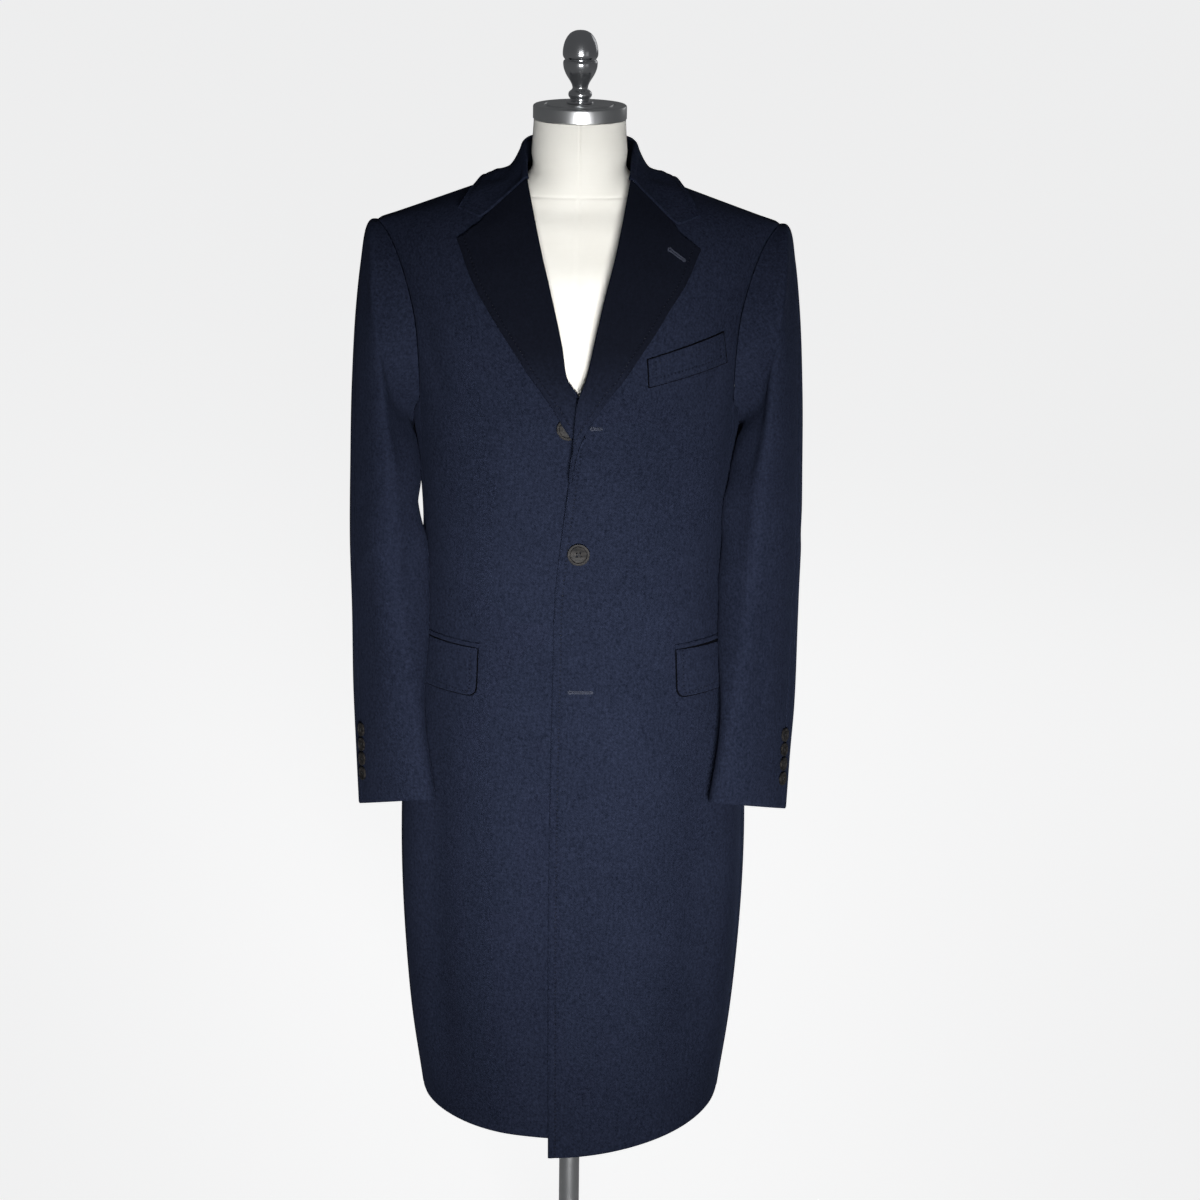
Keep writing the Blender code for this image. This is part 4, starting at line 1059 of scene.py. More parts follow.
class Needlework:
    """Rows of short thread stitches, each a copy of one modelled stitch."""

    def __init__(self, finishes: Finishes) -> None:
        """Models the stitch once: a small spindle of thread."""
        self.finishes = finishes
        deselect_all()
        bpy.ops.mesh.primitive_uv_sphere_add(segments=6, ring_count=5, radius=1.0)
        self.stitch = named("stitch_pattern")
        pick(self.stitch)
        bpy.ops.object.mode_set(mode="EDIT")
        bpy.ops.mesh.select_all(action="SELECT")
        bpy.ops.transform.rotate(value=math.radians(90), orient_axis="Y", center_override=(0, 0, 0))
        bpy.ops.object.mode_set(mode="OBJECT")
        self.points = points_of(self.stitch.data)
        self.faces = [list(face.vertices) for face in self.stitch.data.polygons]
        bpy.data.objects.remove(self.stitch)

    def sewn(self, name: str, places, runs, ways, size: tuple[float, float, float], finish, clip=None):
        """One object of many stitches.

        Args:
            name: Its name.
            places: Where each stitch's middle is.
            runs: Which way each stitch runs.
            ways: The cloth's normal at each.
            size: Half length, half width and half height of a stitch.
            finish: The thread's material.
            clip: Which stitches to leave out, as a test on a place.

        Returns:
            The object.
        """
        points, faces = [], []
        for place, run, way in zip(places, runs, ways):
            if clip is not None and clip(place):
                continue
            run = unit(np.asarray(run, float))
            way = unit(np.asarray(way, float) - run * float(np.dot(run, way)))
            axes = np.stack([run, np.cross(way, run), way])
            first = sum(len(p) for p in points)
            points.append(self.points * np.array(size) @ axes + place)
            faces += [[first + k for k in face] for face in self.faces]
        made = merged_from(name, np.concatenate(points), faces)
        pick(made)
        bpy.ops.object.shade_smooth()
        return finished(made, finish, "navy_wool")

    def running(self, name: str, lines, clip=None) -> bpy.types.Object:
        """Pick stitching along some lines of (places, normals)."""
        places, runs, ways = [], [], []
        for line, normals in lines:
            far = np.concatenate([[0], np.cumsum(np.linalg.norm(np.diff(line, axis=0), axis=1))])
            stops = np.arange(STITCH_PITCH, far[-1] - STITCH_PITCH, STITCH_PITCH)
            at = np.stack([np.interp(stops, far, line[:, k]) for k in range(3)], axis=1)
            up = np.stack([np.interp(stops, far, normals[:, k]) for k in range(3)], axis=1)
            run = np.gradient(at, axis=0)
            places.append(at - up * 0.00022)
            runs.append(run)
            ways.append(up)
        joined = [np.concatenate(rows) for rows in (places, runs, ways)]
        return self.sewn(name, *joined, (0.00085, 0.00026, 0.00030), self.finishes.thread, clip)

    def buttonhole(self, name: str, start, end, ground: Ground, finish) -> bpy.types.Object:
        """A keyhole buttonhole: a lip of close stitches round a slit, with an eye at its start.

        Args:
            name: Its name.
            start: (x, z) of the eye.
            end: (x, z) of the bar at its other end.
            ground: The cloth that it is cut in.
            finish: The silk's material.

        Returns:
            The object.
        """
        start, end = np.array(start, float), np.array(end, float)
        long = float(np.linalg.norm(end - start))
        ahead = (end - start) / long
        aside = np.array([-ahead[1], ahead[0]])
        loop: list[tuple[np.ndarray, np.ndarray]] = []
        for far in np.arange(0.0030, long, 0.00085):
            for hand in (1, -1):
                loop.append((start + ahead * far + aside * hand * 0.00095, aside))
        for turn in np.linspace(math.radians(50), math.radians(310), 11):
            out = ahead * math.cos(turn) + aside * math.sin(turn)
            loop.append((start + ahead * 0.0015 + out * 0.0017, out))
        for far in (-0.0008, 0.0, 0.0008):
            loop.append((end + aside * far, ahead))
        places = np.array([ground.from_front(*at, 0.00035) for at, _ in loop])
        ways = np.array([ground.from_front(*at, 0.01) for at, _ in loop]) - places
        runs = np.array([(out[0], 0.0, out[1]) for _, out in loop])
        return self.sewn(name, places, runs, ways, (0.00125, 0.00050, 0.00042), finish)

    def slit(self, name: str, start, end, ground: Ground) -> bpy.types.Object:
        """A dark sheet of painted shade in the opening inside a buttonhole's lip."""
        middle = (np.array(start) + np.array(end)) / 2
        place = ground.from_front(*middle, 0.0)
        way = ground.from_front(*middle, 0.01) - place
        run = ground.from_front(*end, 0.0) - ground.from_front(*start, 0.0)
        half = float(np.linalg.norm(run)) / 2 - 0.001
        return self.sewn(name, [place], [run], [way], (half, 0.00055, 0.0006), self.finishes.painted_shade_wool)


# ---------------------------------------------------------------- the body of the coat
@dataclass
class Body:
    """The fronts, side bodies and backs."""

    finishes: Finishes
    columns: int = 9
    side_columns: int = 7
    sheets: dict[str, ClothSheet] = field(default_factory=dict)

    def front(self, over: bool) -> np.ndarray:
        """The wearer's left front, or the right one beneath it as if it were on the left."""
        heights = column(FRONT_EDGE, EDGE_COLUMNS, "z")
        edge_x = column(FRONT_EDGE, EDGE_COLUMNS, "over_x" if over else "under_x")
        proud = column(FRONT_EDGE, EDGE_COLUMNS, "over_proud" if over else "under_sunk")
        toward = 1.0 if over else -1.0
        rows = []
        for z in LOWER_ROWS:
            half_width, _, _, squareness, front_seam, _ = section_at(z)
            first = math.asin(power(smooth_read(z, heights, edge_x) * toward / half_width, squareness / 2))
            last = math.radians(front_seam)
            start, end = section_point(first, z), section_point(last, z)
            row = bent_row(start, end, first, last, squareness, self.columns)
            if over and z == LOWER_ROWS[0]:
                row[:, 2] -= OVER_DROP * np.linspace(1, 0, self.columns)
            rows.append(self.lapped(row, smooth_read(z, heights, proud) * toward))
        for roll, armhole, bend in FRONT_UPPER:
            z, start = roll[2], np.array(roll)
            if z < BREAK_TOP_Z:
                start[0] = smooth_read(z, heights, edge_x) * toward
            elif not over:
                start[0] += UNDER_ROLL_SHIFT
            row = bent_row(start, armhole, 0.0, math.radians(bend), 2.2, self.columns)
            fade = np.clip((NECK_POINT[2] - z) / (NECK_POINT[2] - BREAK_TOP_Z), 0, 1) ** 2
            rows.append(self.lapped(row, smooth_read(min(z, BREAK_TOP_Z), heights, proud) * toward * fade))
        return np.array(rows)

    @staticmethod
    def lapped(row: np.ndarray, proud: float, full: float = 0.052, reach: float = 0.125) -> np.ndarray:
        """The row with its front end moved forward, or back where proud is negative."""
        share = np.clip((reach - (row[:, 0] - row[0, 0])) / (reach - full), 0, 1)
        row = row.copy()
        row[:, 1] -= proud * share * share * (3 - 2 * share)
        return row

    def back(self) -> np.ndarray:
        """The wearer's left back, hem to shoulder."""
        rows = []
        for z in LOWER_ROWS:
            _, _, _, squareness, _, back_seam = section_at(z)
            start, end = section_point(math.pi, z), section_point(math.radians(back_seam), z)
            start[0] = 0.0
            turn = math.pi - math.radians(back_seam)
            rows.append(bent_row(start, end, 0.0, turn, squareness, self.columns))
        rows += [bent_row(centre, armhole, 0.0, math.radians(bend), 2.2, self.columns)
                 for centre, armhole, bend in BACK_UPPER]
        shoulder = [lerp(NECK_POINT, SHOULDER_TIP, share) for share in np.linspace(0, 1, self.columns - 3)]
        rows.append(np.array([*NECKLINE_BACK[:3], *shoulder]))
        return np.array(rows)[:, ::-1]

    def side(self) -> np.ndarray:
        """The side body, hem to underarm."""
        rows = []
        for z in LOWER_ROWS:
            angles = np.radians(np.linspace(*section_at(z)[4:], self.side_columns))
            rows.append([section_point(angle, z) for angle in angles])
        rows.append(armhole_bottom(self.side_columns))
        return np.array(rows)

    def folds(self) -> list[Fold]:
        """The soft hang of the skirt, the drag lines at the waist and the ease under the arms."""
        return [
            body_fold(((24, 0.36), (23, 0.55), (20, 0.80), (17, 1.02)), 0.036, 0.0036),
            body_fold(((44, 0.35), (45, 0.55), (47, 0.80), (46, 0.94)), 0.030, -0.0042),
            body_fold(((62, 0.35), (63, 0.52), (66, 0.80)), 0.032, 0.0050),
            body_fold(((-27, 0.36), (-25, 0.60), (-22, 0.86)), 0.034, 0.0032),
            body_fold(((-50, 0.35), (-52, 0.56), (-54, 0.88)), 0.027, -0.0054),
            body_fold(((-68, 0.35), (-69, 0.60), (-73, 0.90)), 0.030, 0.0046),
            body_fold(((104, 0.35), (103, 0.60), (101, 0.92)), 0.034, 0.0050),
            body_fold(((-101, 0.35), (-104, 0.62), (-102, 0.88)), 0.036, 0.0044),
            body_fold(((141, 0.35), (140, 0.60), (146, 0.98)), 0.034, -0.0056),
            body_fold(((161, 0.35), (160, 0.64), (163, 0.90)), 0.030, 0.0046),
            body_fold(((-146, 0.35), (-143, 0.62), (-148, 0.94)), 0.036, -0.0050),
            body_fold(((-166, 0.36), (-165, 0.58), (-168, 0.84)), 0.028, 0.0038),
            body_fold(((30, 1.17), (48, 1.12), (66, 1.10)), 0.022, -0.0018),
            body_fold(((-24, 1.16), (-44, 1.13), (-64, 1.12)), 0.024, -0.0016),
            body_fold(((150, 1.12), (170, 1.09), (190, 1.10), (208, 1.13)), 0.024, -0.0024),
            body_fold(((158, 1.03), (182, 1.05), (204, 1.03)), 0.020, -0.0016),
            Fold(np.array([(0.150, -0.118, 1.215), (0.168, -0.104, 1.29), (0.178, -0.085, 1.36)]),
                 0.016, -0.0026),
            Fold(np.array([(-0.150, -0.118, 1.20), (-0.170, -0.102, 1.28), (-0.180, -0.083, 1.36)]),
                 0.017, -0.0030),
            Fold(np.array([(0.150, 0.100, 1.23), (0.168, 0.104, 1.30), (0.180, 0.096, 1.37)]), 0.017, 0.0030),
            Fold(np.array([(-0.148, 0.100, 1.22), (-0.166, 0.106, 1.30), (-0.180, 0.096, 1.36)]),
                 0.018, 0.0026),
            *self.darts(),
        ]

    def darts(self) -> list[Fold]:
        """The narrow sewn dart down each front, from the chest to the pocket."""
        return [body_fold(((hand * 40, 0.97), (hand * 40.5, 1.08), (hand * 39, 1.19)), 0.0030, -0.0008)
                for hand in (1, -1)]

    def build(self) -> None:
        """Makes the six pieces; the neighbours' borders follow the same curves."""
        folds = self.folds()
        front, under, back, side = self.front(True), mirrored(self.front(False)), self.back(), self.side()
        grids = {
            "front_left": (front, Edge.STITCHED, Edge.SEAM),
            "front_right": (under, Edge.SEAM, Edge.STITCHED),
            "back_left": (back, Edge.SEAM, Edge.SEAM),
            "back_right": (mirrored(back), Edge.SEAM, Edge.SEAM),
            "side_left": (side, Edge.SEAM, Edge.SEAM),
            "side_right": (mirrored(side), Edge.SEAM, Edge.SEAM),
        }
        for name, (grid, left, right) in grids.items():
            sheet = ClothSheet(name, grid, bottom=Edge.FREE, left=left, right=right, folds=folds)
            sheet.finish(self.finishes.wool, "hung", ["form_torso"], name)
            self.sheets[name] = sheet

    def armhole(self, hand: str) -> np.ndarray:
        """The armhole seam as the finished pieces leave it, as it would be on the wearer's left."""
        low = FRONT_UPPER[0][1][2] + 0.001
        flip = np.array([1.0 if hand == "left" else -1.0, 1.0, 1.0])
        front, back, side = (self.sheets[f"{part}_{hand}"].fine * flip for part in ("front", "back", "side"))
        if hand == "right":
            front, back, side = front[:, ::-1], back[:, ::-1], side[:, ::-1]
        front, back = front[:, -1], back[:, 0]
        return np.concatenate([front[front[:, 2] > low], back[back[:, 2] > low][::-1], side[-1, ::-1]])

    def ground(self, *names: str) -> Ground:
        """The outer faces of these pieces."""
        return Ground(*(self.sheets[name].fine for name in names))


def armhole_bottom(count: int) -> np.ndarray:
    """The lowest part of the armhole, from the front's seam under the arm to the back's."""
    front, back = FRONT_UPPER[0][1], BACK_UPPER[0][1]
    through = [front, lerp(front, UNDERARM_POINT, 0.5), UNDERARM_POINT, lerp(back, UNDERARM_POINT, 0.5), back]
    through[1] += (0.004, 0.0, -0.008)
    through[3] += (0.003, 0.0, -0.008)
    return spline(through, np.linspace(0, 4, count))


# ---------------------------------------------------------------- sleeves
@dataclass
class Sleeve:
    """A two-piece sleeve with its cuff buttons' row beside the hind seam."""

    hand: str
    side: int
    finishes: Finishes
    seam: np.ndarray
    body: "Ground"
    columns: int = 21

    def armhole(self, angles: np.ndarray) -> np.ndarray:
        """The armhole seam, read at angles from its front over the top and round the back."""
        loop = np.array(self.seam, float)
        places = np.unwrap([math.atan2(p[2] - 1.318, -(p[1] - 0.008)) for p in loop])
        closed, turn = np.concatenate([loop, loop[:1]]), np.concatenate([places, [places[0] + 2 * math.pi]])
        wrapped = (angles - turn[0]) % (2 * math.pi) + turn[0]
        return np.stack([np.interp(wrapped, turn, closed[:, k]) for k in range(3)], axis=1)

    @staticmethod
    def ring(ring: Sequence, angles: np.ndarray) -> np.ndarray:
        """Points round one ring of the sleeve."""
        centre, half_width, half_depth, turn, outer_lift, front_lift = ring
        turn = math.radians(turn)
        outward = np.array([math.cos(turn) * half_width, -math.sin(turn) * half_width, outer_lift])
        forward = np.array([-math.sin(turn) * half_depth, -math.cos(turn) * half_depth, front_lift])
        return np.array(centre) + np.outer(np.sin(angles), outward) + np.outer(np.cos(angles), forward)

    def grid(self, first: Sequence[float], last: Sequence[float]) -> np.ndarray:
        """The cloth between two seams, cuff to armhole."""
        angles = np.radians(np.linspace(first[0], last[0], self.columns))
        start = self.armhole(angles)
        rows = [start + unit(self.ring(SLEEVE_RINGS[0], angles) - start) * 0.0008]
        for k, ring in enumerate(SLEEVE_RINGS):
            rows.append(self.ring(ring, np.radians(np.linspace(first[k + 1], last[k + 1], self.columns))))
        return np.array(rows)[::-1]

    def fold(
        self, grid: np.ndarray, line: Sequence[tuple[float, float]], width: float, height: float
    ) -> Fold:
        """A fold through places given as (share round the piece, share up from the cuff)."""
        rows, columns = grid.shape[:2]
        ends = [read_grid(grid, [up * (rows - 1)], [across * (columns - 1)])[0, 0] for across, up in line]
        return Fold(spline(ends, np.linspace(0, len(ends) - 1, 6 * len(ends))), width, height)

    def folds(self, top: np.ndarray, under: np.ndarray) -> list[Fold]:
        """Soft pulls at the elbow and the sleeve head, and the long hang of the forearm; uneven by side."""
        k = 1.0 if self.side > 0 else 0.8
        return [
            self.fold(top, ((0.30, 0.06), (0.34, 0.30), (0.38, 0.52)), 0.020, 0.0020 * k),
            self.fold(top, ((0.62, 0.10), (0.66, 0.34), (0.60, 0.60)), 0.020, -0.0024),
            self.fold(top, ((0.05, 0.44), (0.26, 0.50), (0.46, 0.51)), 0.012, -0.0022 * k),
            self.fold(top, ((0.04, 0.36), (0.22, 0.40), (0.40, 0.44)), 0.012, 0.0018),
            self.fold(top, ((0.10, 0.62), (0.30, 0.66), (0.44, 0.74)), 0.016, -0.0022),
            self.fold(top, ((0.20, 0.93), (0.26, 0.86), (0.30, 0.76)), 0.014, -0.0026 * k),
            self.fold(top, ((0.52, 0.98), (0.50, 0.90), (0.48, 0.80)), 0.020, 0.0016),
            self.fold(top, ((0.86, 0.95), (0.80, 0.84), (0.72, 0.72)), 0.018, -0.0022),
            self.fold(under, ((0.10, 0.40), (0.34, 0.46), (0.60, 0.44)), 0.014, -0.0026),
            self.fold(under, ((0.20, 0.55), (0.44, 0.58), (0.70, 0.52)), 0.015, 0.0024 * k),
            self.fold(under, ((0.30, 0.08), (0.34, 0.24), (0.30, 0.38)), 0.018, 0.0022),
        ]

    def resting(self, z: float) -> float:
        """How fully the sleeve's inner side rests on the coat at a height, from 0 to 1."""
        fade = min(1.0, (z - RESTS_FROM_Z) / RESTS_FADE_LOW, (RESTS_TO_Z - z) / RESTS_FADE_HIGH)
        if self.side < 0:
            fade *= 1 - WAIST_GAP_SHARE * math.exp(-(((z - WAIST_GAP_Z) / WAIST_GAP_SPREAD) ** 2))
        return fade

    def leaned(self, grid: np.ndarray) -> np.ndarray:
        """The cloth with its inner side resting on the coat, evened out up each column."""
        inward = -normals_of(grid)[..., 0] * self.side
        moved = np.zeros_like(grid)
        for index in np.ndindex(grid.shape[:2]):
            point = grid[index]
            if inward[index] < FACING_LEAST or not RESTS_FROM_Z < point[2] < RESTS_TO_Z:
                continue
            fade = self.resting(point[2])
            share = min(1.0, (inward[index] - FACING_LEAST) / FACING_MORE)
            place = self.body.near(point, RESTING_GAP)
            reached = np.clip((REST_REACH - np.linalg.norm(place - point)) / REST_REACH_FADE, 0, 1)
            moved[index] = (place - point) * (reached * fade * share * share * (3 - 2 * share))
        for _ in range(SETTLING_ROUNDS):
            padded = np.pad(moved, ((1, 1), (0, 0), (0, 0)), mode="edge")
            moved = (padded[:-2] + 2 * moved + padded[2:]) / 4
        return grid + moved

    def build(self) -> None:
        """Makes the top sleeve and the under sleeve."""
        top = side_of(self.grid(FORE_SEAM_DEG, HIND_SEAM_DEG), self.side)
        under = side_of(self.grid(HIND_SEAM_DEG, [deg + 360 for deg in FORE_SEAM_DEG]), self.side)
        folds = self.folds(top, under)
        for name, grid in ((f"top_sleeve_{self.hand}", top), (f"under_sleeve_{self.hand}", under)):
            sheet = ClothSheet(name, grid, bottom=Edge.FREE, top=Edge.FLAT, folds=folds, gap=0.0002,
                               settled=self.leaned)
            sheet.finish(self.finishes.wool, "hung", [f"front_{self.hand}", f"back_{self.hand}"], name)


# ---------------------------------------------------------------- lapels and collar
@dataclass
class Lapel:
    """A notch lapel: it turns over at the crest of the fold and lies on the chest."""

    hand: str
    outward: float
    rows: Sequence
    finishes: Finishes
    coarse_rows: int = 19
    coarse_columns: int = 17

    def crest_at(self, z: float, ground: Ground, x: float) -> np.ndarray:
        """The crest of the fold at a height; below the V it lies on the front's own edge."""
        table = np.array(CREST[: CREST_GORGE + 1])
        if z < table[0, 2]:
            place = ground.from_front(x + math.copysign(0.0045, x), z, 0.0)
            return np.array([x, place[1] - 0.0042, z])
        found = [smooth_read(z, table[:, 2], table[:, k]) for k in range(3)]
        return np.array([math.copysign(found[0], x), found[1], z])

    def grid(self, ground: Ground) -> np.ndarray:
        """The lapel's rows, from the break up."""
        out = self.outward
        point = LAPEL_POINT[int(out)]
        top = (out * CREST[CREST_GORGE][0], CREST[CREST_GORGE][2], out * point[0], point[1])
        known = [(*crest, *outer, lift) for crest, outer, lift in self.rows] + [(*top, self.rows[-1][2])]
        grid = []
        for row in spline(known, np.linspace(0, len(self.rows), self.coarse_rows)):
            crest, outer, lift = row[:2], row[2:4], row[4]
            at_crest = self.crest_at(crest[1], ground, crest[0])
            at_crest[0] = crest[0]
            line = [at_crest + (0.0, 0.0012, 0.0), at_crest + (out * 0.0014, -0.0024, 0.0)]
            shares = np.linspace(min(0.30, 0.0095 / math.dist(crest, outer)), 1.0, self.coarse_columns)
            places = [lerp(crest, outer, share) for share in shares]
            if len(grid) == self.coarse_rows - 1:
                places = [gorge_line(share, out, point, -NOTCH_OPENING / 2) for share in shares]
            grid.append(line + rolled_out(ground, line[-1], places, shares, lift))
        grid = np.array(grid)
        return grid if out > 0 else grid[:, ::-1]

    def build(self, coarse: Ground, fine: Ground) -> ClothSheet:
        """Makes the lapel, laid clear of the finished front."""
        edges = {"left": Edge.FREE, "right": Edge.STITCHED}
        if self.outward < 0:
            edges = {"left": Edge.STITCHED, "right": Edge.FREE}
        name = f"lapel_{self.hand}"
        sheet = ClothSheet(name, self.grid(coarse), TURNED_CLOTH, bottom=Edge.FREE, top=Edge.CRISP,
                           spacing=0.0030, clear_of=fine, least=TURNED_CLOTH + 0.0006, **edges)
        sheet.finish(self.finishes.lapel_wool_painted_shade, "folded", [f"front_{self.hand}"], name)
        return sheet


def rolled_out(ground: Ground, start: np.ndarray, places, shares, lift: float, free: float = 0.45) -> list:
    """Points over the cloth at (x, z) places; near the fold they bridge to its start.

    Args:
        ground: The cloth beneath.
        start: Where the bridge starts, at the fold.
        places: (x, z) of each point.
        shares: How far each is on the way from the fold to the outer edge.
        lift: How far the outer part stands off the cloth.
        free: The share at which the piece first lies on the cloth.

    Returns:
        The points.
    """
    on_cloth = []
    for (x, z), share in zip(places, shares):
        on_cloth.append(ground.from_front(x, z, lift + 0.0022 * (1 - share) ** 2))
    anchor = int(np.argmax(np.asarray(shares) >= free))
    for k in range(anchor):
        bridge = lerp(start, on_cloth[anchor], shares[k] / shares[anchor])
        if bridge[1] < on_cloth[k][1]:
            on_cloth[k] = bridge
    return on_cloth


def gorge_line(share: float, outward: float, free_end: tuple[float, float], opening: float) -> np.ndarray:
    """The seam between collar and lapel, then the free edge beyond the notch.

    Args:
        share: How far along it, from the crest.
        outward: The x sign away from the V.
        free_end: (x, z) of the free edge's end, on the wearer's left.
        opening: How far above the gorge's line the free edge starts, negative for below.

    Returns:
        The place, as (x, z).
    """
    inner = np.array((CREST[CREST_GORGE][0], CREST[CREST_GORGE][2]))
    notch = np.array(NOTCH[int(outward)])
    if share < NOTCH_SHARE:
        place = lerp(inner, notch, share / NOTCH_SHARE)
    else:
        place = lerp(notch, free_end, (share - NOTCH_SHARE) / (1 - NOTCH_SHARE))
    opened = np.clip((share / NOTCH_SHARE - GORGE_PARTS) / (1 - GORGE_PARTS), 0, 1)
    place = place + (0.0, opening * opened - max(0.0, opening) * (1 - opened))
    return np.array([outward * place[0], place[1]])


@dataclass
class Collar:
    """The fall that lies round the neck, and the stand inside it."""

    finishes: Finishes
    columns: int = 17

    @staticmethod
    def crest(count: int) -> np.ndarray:
        """The crest from the centre back round the wearer's left to where the collar meets the lapel."""
        points = CREST[: CREST_GORGE - 1 : -1]
        return spline(points, np.linspace(0, len(points) - 1, count))

    @staticmethod
    def away(point: np.ndarray) -> np.ndarray:
        """The level direction away from the neck at a point."""
        return unit(np.array([point[0], point[1] + 0.012, 0.0]))

    def half(self, ground: Ground, side: int) -> np.ndarray:
        """The fall on one side as if it were the wearer's left, from the centre back to its front end."""
        rows = []
        edge = spline(COLLAR_EDGE, np.linspace(0, len(COLLAR_EDGE) - 1, COLLAR_ROWS - 1))
        for crest, outer in zip(self.crest(COLLAR_ROWS)[:-1], edge):
            away, outer = self.away(crest), ground.near(outer, COLLAR_LIFT)
            start = crest + away * 0.0062 + (0.0, 0.0, -0.0080)
            line = [crest, crest + away * 0.0036 + (0.0, 0.0, -0.0016), start]
            for share in np.linspace(0.0, 1.0, self.columns)[1:]:
                point = lerp(start, outer, share)
                point[2] -= 0.0060 * math.sin(math.pi * share)
                line.append(ground.clear_of(point, COLLAR_LIFT))
            rows.append(line)
        crest = np.array(CREST[CREST_GORGE])
        line = [crest + (0.0006, -0.0004, -0.0022), crest + (0.0020, -0.0036, -0.0012)]
        shares = np.linspace(0.10, 1.0, self.columns)
        corner, opening = COLLAR_CORNER[side], NOTCH_OPENING / 2
        places = [gorge_line(share, side, corner, opening) * (side, 1) for share in shares]
        rows.append(line + rolled_out(ground, line[-1], places, shares, COLLAR_FRONT_LIFT))
        return np.array(rows)

    def stand(self) -> np.ndarray:
        """The stand: from the neckline up to just under the crest."""
        neckline = [*NECKLINE_BACK, (0.0645, -0.0200, 1.4830)]
        low = spline(neckline, np.linspace(0, len(neckline) - 1, COLLAR_ROWS - 2)) + (0.0, 0.0, 0.0012)
        crest = self.crest(COLLAR_ROWS)[:-2]
        high = np.array([p - self.away(p) * 0.0002 + (0.0, 0.0, -0.0014) for p in crest])
        half = np.array([low, (low + high) / 2, high])
        return np.concatenate([half[:, ::-1], half[:, 1:] * (-1.0, 1.0, 1.0)], axis=1)[:, ::-1]

    def build(self, coarse: Ground) -> ClothSheet:
        """Makes the fall and the stand."""
        left, right = self.half(coarse, 1), self.half(coarse, -1)[1:] * np.array([-1.0, 1.0, 1.0])
        grid = np.concatenate([right[::-1], left]).transpose(1, 0, 2)[::-1]
        fall = ClothSheet("collar_fall", grid, TURNED_CLOTH, bottom=Edge.STITCHED, top=Edge.FREE,
                          left=Edge.CRISP, right=Edge.CRISP, spacing=0.0034)
        fall.finish(self.finishes.wool, "folded", ["collar_stand", "back_left", "back_right"], "collar_fall")
        stand = ClothSheet("collar_stand", self.stand(), TRIM_CLOTH, top=Edge.FREE)
        stand.finish(self.finishes.lapel_wool_painted_shade, "folded", ["back_left", "back_right"], "collar_stand")
        return fall


# ---------------------------------------------------------------- pockets
@dataclass
class FlapPocket:
    """A hip pocket: a jetting and the flap that hangs from it, with round lower corners."""

    hand: str
    side: int
    finishes: Finishes
    droop: float = 0.0
    columns: int = 60
    rows: int = 30

    def angles(self, inset: float) -> np.ndarray:
        """Angles round the coat across the pocket, drawn in at both ends by a length."""
        first, last = (math.radians(deg) for deg in FLAP_ANGLES_DEG[self.side])
        turn = inset / 0.165
        return np.linspace(first + turn, last - turn, self.columns)

    def flap_grid(self, lift: float = FLAP_LIFT, wider: float = 0.0) -> np.ndarray:
        """The flap's outline, lifted off the coat, following its round corners and drawn out round them."""
        grid = []
        straight = np.linspace(FLAP_CORNER, FLAP_DROP, self.rows)[1:]
        steps = np.concatenate([np.linspace(0, FLAP_CORNER, 12), straight])
        for up in steps:
            below = max(0.0, 1 - up / FLAP_CORNER)
            inset = FLAP_CORNER * (1 - math.sqrt(max(0.0, 1 - below * below))) * 0.9
            z = FLAP_TOP_Z - FLAP_DROP + up - wider * (1 - up / FLAP_DROP)
            grid.append([section_point(a, z) for a in self.angles(inset - wider)])
        grid = np.array(grid)
        share = np.linspace(0, 1, self.columns)
        top = np.clip((grid[:, :1, 2] - (FLAP_TOP_Z - FLAP_DROP)) / FLAP_DROP, 0, 1) ** 2
        hang = self.droop * share[None, :] * top
        out = normals_of(grid) * (lift + 0.0012 * np.sin(np.pi * share)[None, :] * (1 - top))[..., None]
        grid = grid + out
        grid[..., 2] -= hang
        return side_of(grid, self.side)

    def jetting_grid(self) -> np.ndarray:
        """The narrow jetting above the flap."""
        grid = []
        for z in np.linspace(FLAP_TOP_Z + 2 * SEAM_GAP, FLAP_TOP_Z + JETTING_HEIGHT, 9):
            grid.append([section_point(a, z) for a in self.angles(-0.0015)])
        grid = np.array(grid)
        return side_of(grid + normals_of(grid) * 0.0030, self.side)

    def mouth_grid(self) -> np.ndarray:
        """A dark sheet of painted shade inside the pocket's mouth, seen where the flap droops."""
        grid = []
        for z in np.linspace(FLAP_TOP_Z - 0.012, FLAP_TOP_Z + 0.0012, 8):
            grid.append([section_point(a, z) for a in self.angles(0.0012)])
        grid = np.array(grid)
        return side_of(grid + normals_of(grid) * 0.0016, self.side)

    def build(self, fine: Ground) -> list[tuple[np.ndarray, np.ndarray]]:
        """Makes the pieces and returns the lines to stitch along."""
        trims = []
        # The mouth is a dark sheet of painted shade; under the flap a dark strip of painted shadow shows
        # SHADOW_SHOWS beyond it.
        for part, grid, wall, edge, cloth in (
            ("jetting", self.jetting_grid(), TRIM_CLOTH, Edge.FREE, self.finishes.wool),
            ("mouth", self.mouth_grid(), MOUTH_WALL, Edge.FLAT, self.finishes.painted_shade_wool),
            ("under_flap_painted_shadow", self.flap_grid(0.0013, SHADOW_SHOWS), UNDER_FLAP_WALL, Edge.FLAT,
             self.finishes.painted_shade_wool),
        ):
            name = f"pocket_{part}_{self.hand}"
            nodes = [name] if part == "jetting" else []
            sheet = ClothSheet(name, grid, wall, *[edge] * 4, clear_of=fine, least=wall + 0.0005, ready=True)
            trims.append(sheet.trim(cloth, *nodes))
        name = f"pocket_flap_{self.hand}"
        flap = ClothSheet(name, self.flap_grid(), TRIM_CLOTH, Edge.STITCHED, Edge.FREE, Edge.STITCHED,
                          Edge.STITCHED, clear_of=fine, least=0.0028, ready=True)
        flap.finish(self.finishes.wool, "hung", [f"front_{self.hand}"], name, with_pieces=trims)
        return [flap.inset_path(border, 0.0075) for border in ("left", "right", "bottom")]


